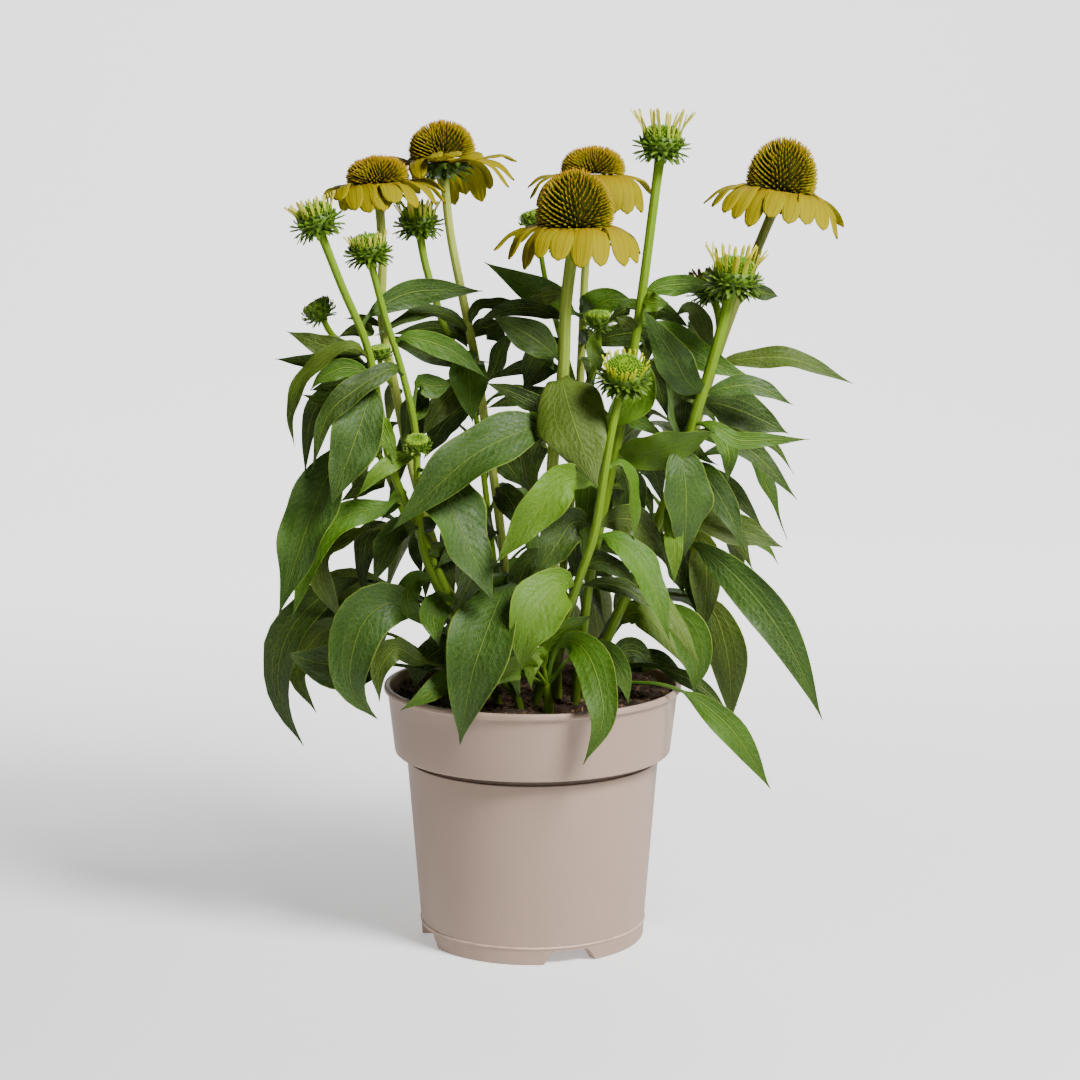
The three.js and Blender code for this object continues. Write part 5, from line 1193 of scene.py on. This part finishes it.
# The cup under an open bloom and its rings of bracts, in rows of (share of the cone's radius, height):
# each ring's route and its count.
BLOOM_CUP = ((0.45, -10.5), (0.68, -7.5), (0.82, -4.4), (0.8, -3.2), (0.45, -2.9))
BLOOM_BRACTS = (
    (((0.42, -9.6), (0.62, -12.4), (0.80, -15.0)), 12),
    (((0.62, -7.4), (0.84, -9.0), (1.0, -11.4)), 15),
    (((0.76, -5.0), (0.94, -5.8), (1.06, -7.6)), 17),
)
# The same for a bud of scale 1, in rows of (radius, height).
OPEN_CUP = ((2.4, -11.5), (7, -9.4), (10.4, -5), (10.9, -2), (10.2, 0.4), (9, 0.9), (0.3, 1.2))
OPEN_BRACTS = (
    (((5, -9.2), (8.8, -10.8), (11.6, -13.2)), 11),
    (((7.4, -8.0), (11.6, -9.4), (14, -11.8)), 13),
    (((9.0, -6.4), (13, -7.4), (15.8, -8.8)), 16),
    (((10, -4.6), (13.6, -4.4), (16.2, -4.0)), 17),
    (((10.4, -3.4), (13.4, -2.4), (15.4, -1.4)), 17),
    (((10.4, -2.2), (11.8, -0.6), (12.6, 1.2)), 17),
)
SHUT_CUP = ((2.4, -11.5), (7, -9.4), (10.2, -5), (10.4, -1), (9.4, 1.2), (8, 1.6), (0.3, 1.8))
SHUT_BRACTS = (
    (((5, -9.5), (9.5, -10.6), (12.5, -12)), 10),
    (((8.5, -7), (12.6, -7.2), (15, -6)), 12),
    (((10, -4.6), (13.2, -3.6), (14.6, -0.8)), 13),
    (((10.2, -2.6), (12.4, 0.2), (12.8, 3.4)), 13),
    (((9.8, -0.6), (10.8, 2.6), (9.6, 5.4)), 12),
)


def scaled(rows, wide, high=1):
    return [(r * wide, z * high) for r, z in rows]


def grow_involucre(skin, matrix, radius, seed):
    """The green cup under an open bloom, with three rings of bracts."""
    round_body(skin, matrix, [(2.6, -13)] + scaled(BLOOM_CUP, radius), 40, BRACT_PAINT, 0.3)
    for k, (route, count) in enumerate(BLOOM_BRACTS):
        ring_of_blades(skin, matrix, scaled(route, radius), count, 3.6, BRACT_PAINT, 0.7, k * 0.2, 0.15,
                       seed * 10 + k)


def grow_bud(skin, matrix, scale, shut, seed):
    """A bud's cup and bracts; on an open bud they bend back, on a shut one they close over it."""
    cup, rings = (SHUT_CUP, SHUT_BRACTS) if shut else (OPEN_CUP, OPEN_BRACTS)
    round_body(skin, matrix, scaled(cup, scale, scale), 36, BRACT_PAINT, 0.1)
    for k, (route, count) in enumerate(rings):
        ring_of_blades(skin, matrix, scaled(route, scale, scale), count, 2.9 * scale, BRACT_PAINT, 0.55,
                       k * 0.25, 0.0 if shut else 0.05 * k, seed * 10 + k)


# A petal, in mm: its width and thickness, the faces across it, the stations along it from 0 to 1, and
# its half width there as a share of its width.
PETAL_WIDTH, PETAL_THICK, PETAL_COLUMNS = 13.3, 0.62, 12
PETAL_SHARES = np.linspace(0, 1, 22)
PETAL_OUTLINE = (0, 0.12, 0.3, 0.55, 0.78, 0.9, 0.96, 1), (0.18, 0.29, 0.43, 0.52, 0.47, 0.34, 0.22, 0.10)
PETAL_LAYERS = (-1.25, -1.85)  # heights of the petals' roots, turn about
PETAL_RING = ((0.48, -2.5), (0.9, -2.5), (0.93, -1.6), (0.9, -0.7), (0.48, -0.7))  # as in BLOOM_CUP


def bloom_petals(row, skin, seed):
    """A bloom's drooping petals, evenly rooted in two layers, as on the solid."""
    _, spot, lean, radius, _, reach, tips = row
    centre, axis = place(spot), axis_of(lean)
    right = unit(np.array((1, 0, 0)) - axis * axis[0])
    back = np.cross(axis, right)
    ends = []
    for x, h, side in tips:
        droop = min(max((spot[1] - h) / 40, 0), 1)
        ring = reach * (1 - 0.22 * droop)
        tip = place((x, h, spot[2] + side * math.sqrt(max(ring**2 - (x - spot[0]) ** 2, 16))))
        ends.append((math.atan2((tip - centre) @ back, (tip - centre) @ right), tip))
    ends.sort(key=lambda end: end[0])
    step = 2 * math.pi / len(ends)
    start = sum(turn - i * step for i, (turn, _) in enumerate(ends)) / len(ends)
    rng = random.Random(seed)

    def out(angle):
        return right * math.cos(angle) + back * math.sin(angle)

    for i, (turn, tip) in enumerate(ends):
        layer, root = PETAL_LAYERS[i % 2], start + i * step
        between = root + (turn - root) * 0.4
        shoulder = centre + out(between) * (radius + 4) + axis * layer
        middle = (shoulder + tip) / 2 + out(turn) * 2 + axis * 3
        route = [centre + out(root) * radius * 0.76 + axis * layer, shoulder, middle, tip]
        halves = PETAL_WIDTH * np.interp(PETAL_SHARES, *PETAL_OUTLINE) * rng.uniform(0.88, 1.08)
        curl, phase = rng.uniform(0.04, 0.09), rng.uniform(0, 6.3)

        def lift(v, share, halves=halves, curl=curl, phase=phase):
            half = halves[:, None]
            groove = 0.34 * np.cos(v * 3 * math.pi) * np.clip(share * 4, 0, 1)
            wave = curl * half * np.sin(share * 9 + phase + v * 1.6) * np.abs(v)
            return groove + wave - 0.10 * half * v**2

        twist = out(root + 1.57) * rng.uniform(-0.3, 0.3)
        hint = unit(axis + out(root + (turn - root) * 0.6) * 0.7 + twist)
        ribbon(skin, smooth(route, PETAL_SHARES), hint, halves, lift, PETAL_THICK, PETAL_COLUMNS, 0,
               rng.uniform(0, 0.10), rng.random(), notch=1.1, margin=0.6)
    round_body(skin, head_frame(spot, lean), scaled(PETAL_RING, radius), 48, tone=0.3)


def ready(piece, *nodes, slot):
    """A finished piece rides on the plant's body and stands for its solids, which are hidden."""
    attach(piece, "root")
    if nodes:
        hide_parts(*nodes)


class Builder:
    """What every operator of this add-on shares."""

    bl_options = {"REGISTER", "UNDO"}

    def execute(self, context):
        self.build(context.scene.coneflower)
        return {"FINISHED"}


LENS, SENSOR, FAR = 85.37, 36.0, 50.0  # the camera's, in mm, mm and metres
# The sweep, in metres: half its width, its front, where it bends up, the bend's radius, its top.
SWEEP_HALF, SWEEP_FRONT, SWEEP_BEND, SWEEP_RADIUS, SWEEP_TOP = 6.0, -4.0, 2.6, 1.6, 6.0
AIM = Vector((0, 0, 0.3))  # where the lamps point
# The lamps: name, place, setting that holds its watts, width, in metres.
LAMPS = (
    ("key", (0.85, -0.9, 1.45), "key", 0.6),
    ("fill", (-2.0, -1.6, 1.3), "fill", 2.0),
    ("back", (0.4, 1.9, 2.3), "fill", 1.8),
)


def stand(name, data, spot, turn):
    """Adds an object of the stage at a place, in metres, turned by Euler angles."""
    thing = bpy.data.objects.new(name, data)
    thing.location, thing.rotation_euler = spot, turn
    bpy.context.scene.collection.objects.link(thing)
    return thing


class CONEFLOWER_OT_stage(Builder, bpy.types.Operator):
    """Adds the camera, the pale sweep that the pot stands on and the soft lights"""

    bl_idname = "coneflower.stage"
    bl_label = "Stage"

    def build(self, have):
        scene, stage = bpy.context.scene, have.stage
        camera = bpy.data.cameras.new("camera")
        camera.lens, camera.sensor_width, camera.clip_end = LENS, SENSOR, FAR
        scene.camera = stand("camera", camera, Vector(EYE) * MM, (math.radians(90) - TILT, 0, 0))

        rows = [(SWEEP_FRONT, 0.0), (SWEEP_BEND, 0.0)]
        rows += [(SWEEP_BEND + SWEEP_RADIUS * math.sin(a), SWEEP_RADIUS - SWEEP_RADIUS * math.cos(a))
                 for a in np.linspace(0.1, math.pi / 2, 14)]
        rows.append((SWEEP_BEND + SWEEP_RADIUS, SWEEP_TOP))
        points = [(x, y, z) for y, z in rows for x in (-SWEEP_HALF, SWEEP_HALF)]
        faces = [(2 * i, 2 * i + 1, 2 * i + 3, 2 * i + 2) for i in range(len(rows) - 1)]
        mesh = bpy.data.meshes.new("sweep")
        mesh.from_pydata(points, [], faces)
        mesh.materials.append(sweep_finish(stage.floor, stage.glow))
        mesh.polygons.foreach_set("use_smooth", [True] * len(faces))
        sweep = stand("sweep", mesh, (0, 0, 0), (0, 0, 0))

        for name, spot, power, size in LAMPS:
            lamp = bpy.data.lights.new(name, "AREA")
            lamp.energy, lamp.size, lamp.shape = getattr(stage, power), size, "DISK"
            stand(name, lamp, spot, (AIM - Vector(spot)).to_track_quat("-Z", "Y").to_euler())
        world = bpy.data.worlds.new("surroundings")
        world.use_nodes = True
        sky = world.node_tree.nodes["Background"].inputs
        sky["Color"].default_value, sky["Strength"].default_value = (1, 1, 1, 1), stage.sky
        scene.world = world


# The pot's wall as (radius, height), from the middle of its underside outside and up, then down inside.
POT_PROFILE = (
    (0.02, 0.0), (21.6, 0.0), (22, 0.3), (23.9, 8.8), (24.3, 9), (62.6, 9), (63, 8.7), (64.8, 0.4), (65.3, 0),
    (71.0, 0), (71.6, 0.5), (71.85, 3.0), (72.15, 9.8), (72.75, 10.4), (72.8, 11.3), (72.3, 11.9), (72.9, 20),
    (74.9, 45), (77.0, 72), (79.0, 97), (80.3, 113), (80.5, 116.6), (79.5, 117.4), (79.3, 120.4),
    (80.4, 121.2), (86.2, 121.0), (87.3, 121.2), (88.1, 121.9), (88.4, 123.2), (89.3, 131), (91.1, 147),
    (92.5, 159.4), (92.9, 160.6), (94.2, 161.0), (94.9, 161.8), (95, 162.8), (94.8, 164), (94.1, 164.8),
    (93.2, 165), (92.2, 164.8), (91.4, 164.1), (91.1, 163), (91.0, 160), (89.2, 143), (87.0, 124.6),
    (86.4, 123.7), (79.6, 122.2), (79.0, 121), (77.4, 90), (73.6, 42), (71.3, 13.4), (70.4, 11.6),
    (68.5, 11.5), (0.02, 11.5))
# The notches in the foot, in degrees and mm: their number, the first one's place, the rows of
# (height, half its angle) of each, and its section as (radius, share of that angle).
NOTCHES, FIRST_NOTCH = 4, -70.5
NOTCH_ROWS = ((-1.0, 14.2), (0.6, 13.8), (7.9, 9.6), (8.7, 8.2))
NOTCH_EDGE = ((57, -1), (80, -1), (82, 0), (80, 1), (57, 1), (56, 0))
HOLES, HOLE_RADIUS, HOLE_SPOT = 5, 5, 44  # the drain holes and how far they are from the middle


class CONEFLOWER_OT_pot(Builder, bpy.types.Operator):
    """Turns the pot: tapered body, shadow gap, collar, rim bead, foot ring, notches and drain holes"""

    bl_idname = "coneflower.pot"
    bl_label = "Pot"

    def build(self, have):
        skin = Skin()
        round_body(skin, UPRIGHT, POT_PROFILE, have.pot.sides)
        piece = skin.piece("pot_shell", [pot_finish()])
        cutters = Skin()
        for i in range(NOTCHES):
            turn = math.radians(FIRST_NOTCH + 360 / NOTCHES * i)
            rows = [[level(turn + side * math.radians(half)) * r + (0, 0, z) for r, side in NOTCH_EDGE]
                    for z, half in NOTCH_ROWS]
            cutters.loft(np.array(rows))
        for i in range(HOLES):
            turn = i / HOLES * 2 * math.pi
            spot = Matrix.Translation(level(turn) * HOLE_SPOT)
            round_body(cutters, spot, [(HOLE_RADIUS, -3), (HOLE_RADIUS, 20)], 32)
        cutter = cutters.piece("cutter", [])
        cut = piece.modifiers.new("cut", "BOOLEAN")
        cut.operation, cut.object, cut.solver = "DIFFERENCE", cutter, "EXACT"
        evaluate(piece)
        bpy.data.objects.remove(cutter)
        soften(piece, 34)
        ready(piece, "pot", slot="pot")


def soften(piece, degrees):
    """Shades a piece smooth but for edges sharper than an angle."""
    mesh = piece.data
    mesh.polygons.foreach_set("use_smooth", [True] * len(mesh.polygons))
    mesh.set_sharp_from_angle(angle=math.radians(degrees))


# The soil, in mm: rows of (radius, height) down the pot's wall, then rings over its top.
SOIL_EDGE = np.array(((69.3, 12.0), (78.3, 121.6), (79.2, 123.2), (86.2, 124.8)))
SOIL_RINGS, SOIL_SIDES, SOIL_REACH = 74, 210, 89.6  # SOIL_REACH is the outermost ring's radius
CRUMBS = (0.5, 0.42, 0.34, 0.3)  # heights of the crumbs of each size
# A bark chip: (place along it, share of its full section) rows, its section, and its half length,
# half width and half thickness.
CHIP_ROWS = ((-1, 0.25), (-0.6, 0.95), (0.4, 0.9), (1, 0.3))
CHIP_EDGE = ((-1, 0), (-0.5, 0.9), (0.4, 1.1), (1, 0.1), (0.5, -0.8), (-0.5, -1))
CHIP_LONG, CHIP_WIDE, CHIP_THICK = 3.4, 1.7, 0.5
FIBRE = ((-7, 0, 0), (-2, 1.6, 0.8), (3, -1.2, 0.2), (8, 0.6, 1.4))  # a peat fibre's route


def crumbly(x, y):
    """The height of the soil's top, in mm."""
    rng = np.random.default_rng(5)
    lumps = np.sin(x * 0.19 + 1.3) * np.cos(y * 0.23 + 0.4) + 0.6 * np.sin(x * 0.11 - y * 0.31)
    ranges = (0.5, 1.6), (0.5, 1.6), (0, 6), (0, 6)
    waves = zip(CRUMBS, *[rng.uniform(low, high, len(CRUMBS)) for low, high in ranges])
    crumbs = sum(a * np.sin(x * fx + p) * np.cos(y * fy + q) for a, fx, fy, p, q in waves)
    return SOIL_TOP + 1.32 * lumps + crumbs + rng.uniform(-0.35, 0.35, x.shape)


class CONEFLOWER_OT_soil(Builder, bpy.types.Operator):
    """Fills the pot with crumbly peat and scatters bark chips and fibres over it"""

    bl_idname = "coneflower.soil"
    bl_label = "Soil"

    def build(self, have):
        edge, pot = len(SOIL_EDGE), have.pot
        radii = np.concatenate((SOIL_EDGE[:, 0], np.linspace(SOIL_REACH, 0.3, SOIL_RINGS)))
        turn = turns(SOIL_SIDES)
        x = radii[:, None] * np.cos(turn)
        y = radii[:, None] * np.sin(turn)
        z = crumbly(x, y)
        z[:edge] = SOIL_EDGE[:, 1:]
        rings = np.stack((x, y, z), axis=-1)
        skin, top = Skin(), Skin()
        skin.loft(rings)
        piece = skin.piece("soil_surface", [soil_finish("peat", pot.peat, lit(pot.peat, 2.2))])
        top.add(rings[edge:], quads(SOIL_RINGS, SOIL_SIDES))
        ready(piece, "potting_soil", slot="soil")
        paint = soil_finish("bark", pot.bark, pot.peat)
        chip, fibre = Skin(), Skin()
        rows = [[(s * CHIP_LONG, CHIP_WIDE * w * c, CHIP_THICK * w * h) for c, h in CHIP_EDGE]
                for s, w in CHIP_ROWS]
        chip.loft(np.array(rows))
        tube(fibre, smooth(FIBRE, np.linspace(0, 1, 8)), np.linspace(0.28, 0.12, 8), 4)
        for name, copy, density, smallest, seed in (
            ("bark_chips", chip, pot.chips, 0.22, 3), ("peat_fibres", fibre, pot.chips / 7, 0.4, 8)):
            ground = top.piece(name, [])
            scatter_tree(name, False).made(ground, Copy=template(name + "_copy", copy), Material=paint,
                                           Density=density, Smallest=smallest, Seed=seed)
            ready(ground, slot="soil")


class CONEFLOWER_OT_foliage(Builder, bpy.types.Operator):
    """Grows each leafy stem, shoot and basal tuft: stems, veined leaves, cups of bracts and buds"""

    bl_idname = "coneflower.foliage"
    bl_label = "Stems and leaves"

    def build(self, have):
        coarse = stem_lines()
        skins = {node: Skin() for node in dict.fromkeys(NODE_OF.values())}
        for seed, (name, parent, _, _, first, last) in enumerate(STEMS):
            grow_stem(skins[parent], coarse[name], first, last, STEM_TONES.get(name, 0.0), seed / 25)
        for seed, (node, *leaf) in enumerate(standing_leaves(coarse)):
            grow_leaf(skins[node], *leaf, seed)
        for seed, (name, spot, lean, radius, *_) in enumerate(BLOOMS):
            grow_involucre(skins[name], head_frame(spot, lean), radius, seed)
        for seed, (name, spot, lean, scale, rays) in enumerate(BUDS):
            grow_bud(skins[NODE_OF[name]], head_frame(spot, lean), scale, not rays, seed + 20)
        paints = [leaf_finish(), stem_finish(), bract_finish()]
        for node, skin in skins.items():
            ready(skin.piece(node + "_growth", paints), node + "_leafy", slot="foliage")


HAIRS = 300000.0  # hairs on a square metre of stem
HAIR_SEAT = 0.93  # radius at which they stand, in terms of the stem's solid


class CONEFLOWER_OT_hairs(Builder, bpy.types.Operator):
    """Sets short stiff hairs over the stems"""

    bl_idname = "coneflower.hairs"
    bl_label = "Hairs"

    def build(self, have):
        coarse = stem_lines()
        skin = Skin()
        for name, _, _, _, first, last in STEMS:
            if not name.startswith(("basal", "shoot")):
                line = coarse[name][:-1] if len(coarse[name]) > 3 else coarse[name]
                shares = np.linspace(0.02, 1, 40)
                tube(skin, smooth(line, shares), (first + (last - first) * shares) * HAIR_SEAT, 10)
        piece = skin.piece("stem_hairs", [])
        hair = Skin()
        tube(hair, np.array([(0, 0, -0.1), (0.2, 0, 1.5)]), (0.075, 0.012), 3)
        scatter_tree("hairs", True).made(piece, Copy=template("hair", hair), Material=hair_finish(),
                                         Density=HAIRS, Smallest=0.35, Seed=2)
        ready(piece, slot="foliage")


class CONEFLOWER_OT_petals(Builder, bpy.types.Operator):
    """Hangs each open bloom's grooved petals from its ring"""

    bl_idname = "coneflower.petals"
    bl_label = "Petals"

    def build(self, have):
        paint = petal_finish()
        for seed, row in enumerate(BLOOMS):
            skin = Skin()
            bloom_petals(row, skin, seed + 40)
            ready(skin.piece(row[0] + "_petal_skirt", [paint]), row[0] + "_petals", slot="petals")


# A spine, along it from 0 to 1: where its rings are, and (place, radius in mm).
SPINE_RINGS = np.array((0, 0.42, 0.78, 0.92, 1))
SPINE_RADII = (0, 0.45, 0.75, 1), (0.46, 0.58, 0.56, 0.12)
# A cone: how far its spines stand out, in mm, beside it and at its top, its height in terms of its
# solid's, and how low its spines go under its widest ring, as a share of its height over it.
SPINES_OUT, SPINES_UP, CONE_TALL, CONE_LOW = 4.0, 3.9, 0.97, 0.3
CROWN = 0.3  # how much smaller spines and florets are in the middle


class CONEFLOWER_OT_cones(Builder, bpy.types.Operator):
    """Raises each open bloom's cone of spiralling spines"""

    bl_idname = "coneflower.cones"
    bl_label = "Cones"

    def build(self, have):
        long = have.flower.spine_length / MM
        spine = Skin()
        line = smooth([(0, 0, -0.6), (0, 0.05, long * 0.5), (0, 0.5, long)], SPINE_RINGS)
        tube(spine, line, np.interp(SPINE_RINGS, *SPINE_RADII), 6)
        paints = spine_finish(), core_finish("cone_core", (0.022, 0.026, 0.001))
        tree, small = spiral_tree(), template("spine", spine)
        for seed, (name, spot, lean, radius, height, *_) in enumerate(BLOOMS):
            inner = radius - SPINES_OUT
            tall = (height * CONE_TALL - SPINES_UP) / (1 + CONE_LOW)
            core = [(inner * 0.4, 0.35)]
            core += [(inner * math.cos(a), tall * (CONE_LOW + math.sin(a)))
                     for a in np.linspace(-CONE_LOW, 1.54, 18)]
            piece = grow_head(name + "_spines", tree, paints, core, 48, spot, lean, Spine=small,
                              Count=have.flower.spines, Radius=inner * MM, Height=tall * MM, Lowest=-CONE_LOW,
                              Bulge=1.0, Lean=0.28, Seed=seed)
            ready(piece, name + "_cone", slot="cones")


def grow_head(name, tree, paints, core, sides, spot, lean, **values):
    """Spines or florets over a core, stood where the head's solid stands."""
    seat = Skin()
    round_body(seat, UPRIGHT, [(0.1, 0), (0.1, 0.1)], 3)  # it carries the tree, which leaves it out
    piece = seat.piece(name, [])
    tree.made(piece, Material=paints[0], Crown=CROWN, **values)
    middle = Skin()
    round_body(middle, UPRIGHT, core, sides)
    join(piece, middle.piece(name + "_core", [paints[1]]))
    matrix = head_frame(spot, lean)
    matrix.translation *= MM
    piece.data.transform(matrix)
    piece.data.update()
    return piece


def join(piece, other):
    """Joins another piece's mesh into a piece's."""
    both = [piece, other]
    with bpy.context.temp_override(active_object=piece, object=piece, selected_objects=both,
                                   selected_editable_objects=both):
        bpy.ops.object.join()


# The tints of the buds whose rays aren't pale; they have MORE_RAYS in each of their rings.
RAY_TINTS = {"bud8": (0.42, 0.45, 0.0), "bud6": (0.42, 0.38, 0.01), "bud7": (0.14, 0.085, 0.015)}
RAYS, MORE_RAYS = 9, 3
RAY_FLARES = (0.2, 0.56)  # how far each ring of rays leans out, as a share of their length
RAY_TAPER = (0.6, 0.75, 0.9, 0.4)
# A bud's disc at scale 1, in mm: the radius of its florets' ring, of its core and where the rays
# stand, the rays' width, and the height of an open and of a shut disc.
DISC_RADIUS, CORE_RADIUS, RAY_RADIUS, RAY_WIDTH, OPEN_TALL, SHUT_TALL = 9.0, 8.8, 10.2, 2.2, 6.6, 3.6


class CONEFLOWER_OT_buds(Builder, bpy.types.Operator):
    """Fills each bud with its disc of florets and rings it with young rays"""

    bl_idname = "coneflower.buds"
    bl_label = "Bud discs and rays"

    def build(self, have):
        floret = Skin()
        round_body(floret, UPRIGHT, [(0.5, -0.5), (0.62, 0.7), (0.5, 1.7), (0.12, 2.2)], 6)
        tree, small = spiral_tree(), template("floret", floret)
        paints = disc_finish(), core_finish("disc_core", (0.12, 0.22, 0.006))
        for seed, (name, spot, lean, scale, long) in enumerate(BUDS):
            tall = OPEN_TALL if long else SHUT_TALL
            core = [(7 * scale, -1)]
            core += [(CORE_RADIUS * math.cos(a) ** 0.6 * scale, tall * math.sin(a) * scale)
                     for a in np.linspace(0, 1.5, 10)]
            piece = grow_head(name + "_disc", tree, paints, core, 32, spot, lean, Spine=small,
                              Count=have.flower.florets, Radius=DISC_RADIUS * scale * MM,
                              Height=tall * scale * MM, Lowest=0.0, Bulge=0.6, Lean=1.1, Seed=seed)
            ready(piece, slot="cones")
            if not long:
                continue
            skin, outer = Skin(), RAY_RADIUS * scale
            count = RAYS + (MORE_RAYS if name in RAY_TINTS else 0)
            for k, flare in enumerate(RAY_FLARES):
                route = [(outer - 0.3, -2.0), (outer + 0.4 + flare, 1.2 + long * 0.3),
                         (outer + 0.4 + long * flare, 1.6 * scale + long)]
                ring_of_blades(skin, head_frame(spot, lean), route, count, RAY_WIDTH * scale, 0, 0.7, k * 0.3,
                               0.0, seed * 5 + k, 6, RAY_TAPER)
            paint = ray_finish(name + "_ray", RAY_TINTS.get(name, have.flower.ray))
            ready(skin.piece(name + "_ray_crown", [paint]), name + "_rays", slot="rays")


class CONEFLOWER_PT_panel(bpy.types.Panel):
    """Lists the builders in the sidebar"""

    bl_label = "Coneflower"
    bl_category = "Coneflower"
    bl_space_type = "VIEW_3D"
    bl_region_type = "UI"

    def draw(self, context):
        for builder in BUILDERS:
            self.layout.operator(builder.bl_idname)


BUILDERS = (
    CONEFLOWER_OT_stage, CONEFLOWER_OT_pot, CONEFLOWER_OT_soil, CONEFLOWER_OT_foliage, CONEFLOWER_OT_hairs,
    CONEFLOWER_OT_petals, CONEFLOWER_OT_cones, CONEFLOWER_OT_buds)
GROUPS = (FoliageSettings, FlowerSettings, PotSettings, StageSettings, ConeflowerSettings)


def register():
    for kind in (*GROUPS, *BUILDERS, CONEFLOWER_PT_panel):
        bpy.utils.register_class(kind)
    bpy.types.Scene.coneflower = PointerProperty(type=ConeflowerSettings)


def unregister():
    del bpy.types.Scene.coneflower
    for kind in reversed((*GROUPS, *BUILDERS, CONEFLOWER_PT_panel)):
        bpy.utils.unregister_class(kind)


def main():
    register()
    for builder in BUILDERS:
        getattr(bpy.ops.coneflower, builder.bl_idname.split(".")[1])()


if __name__ == "__main__":
    main()
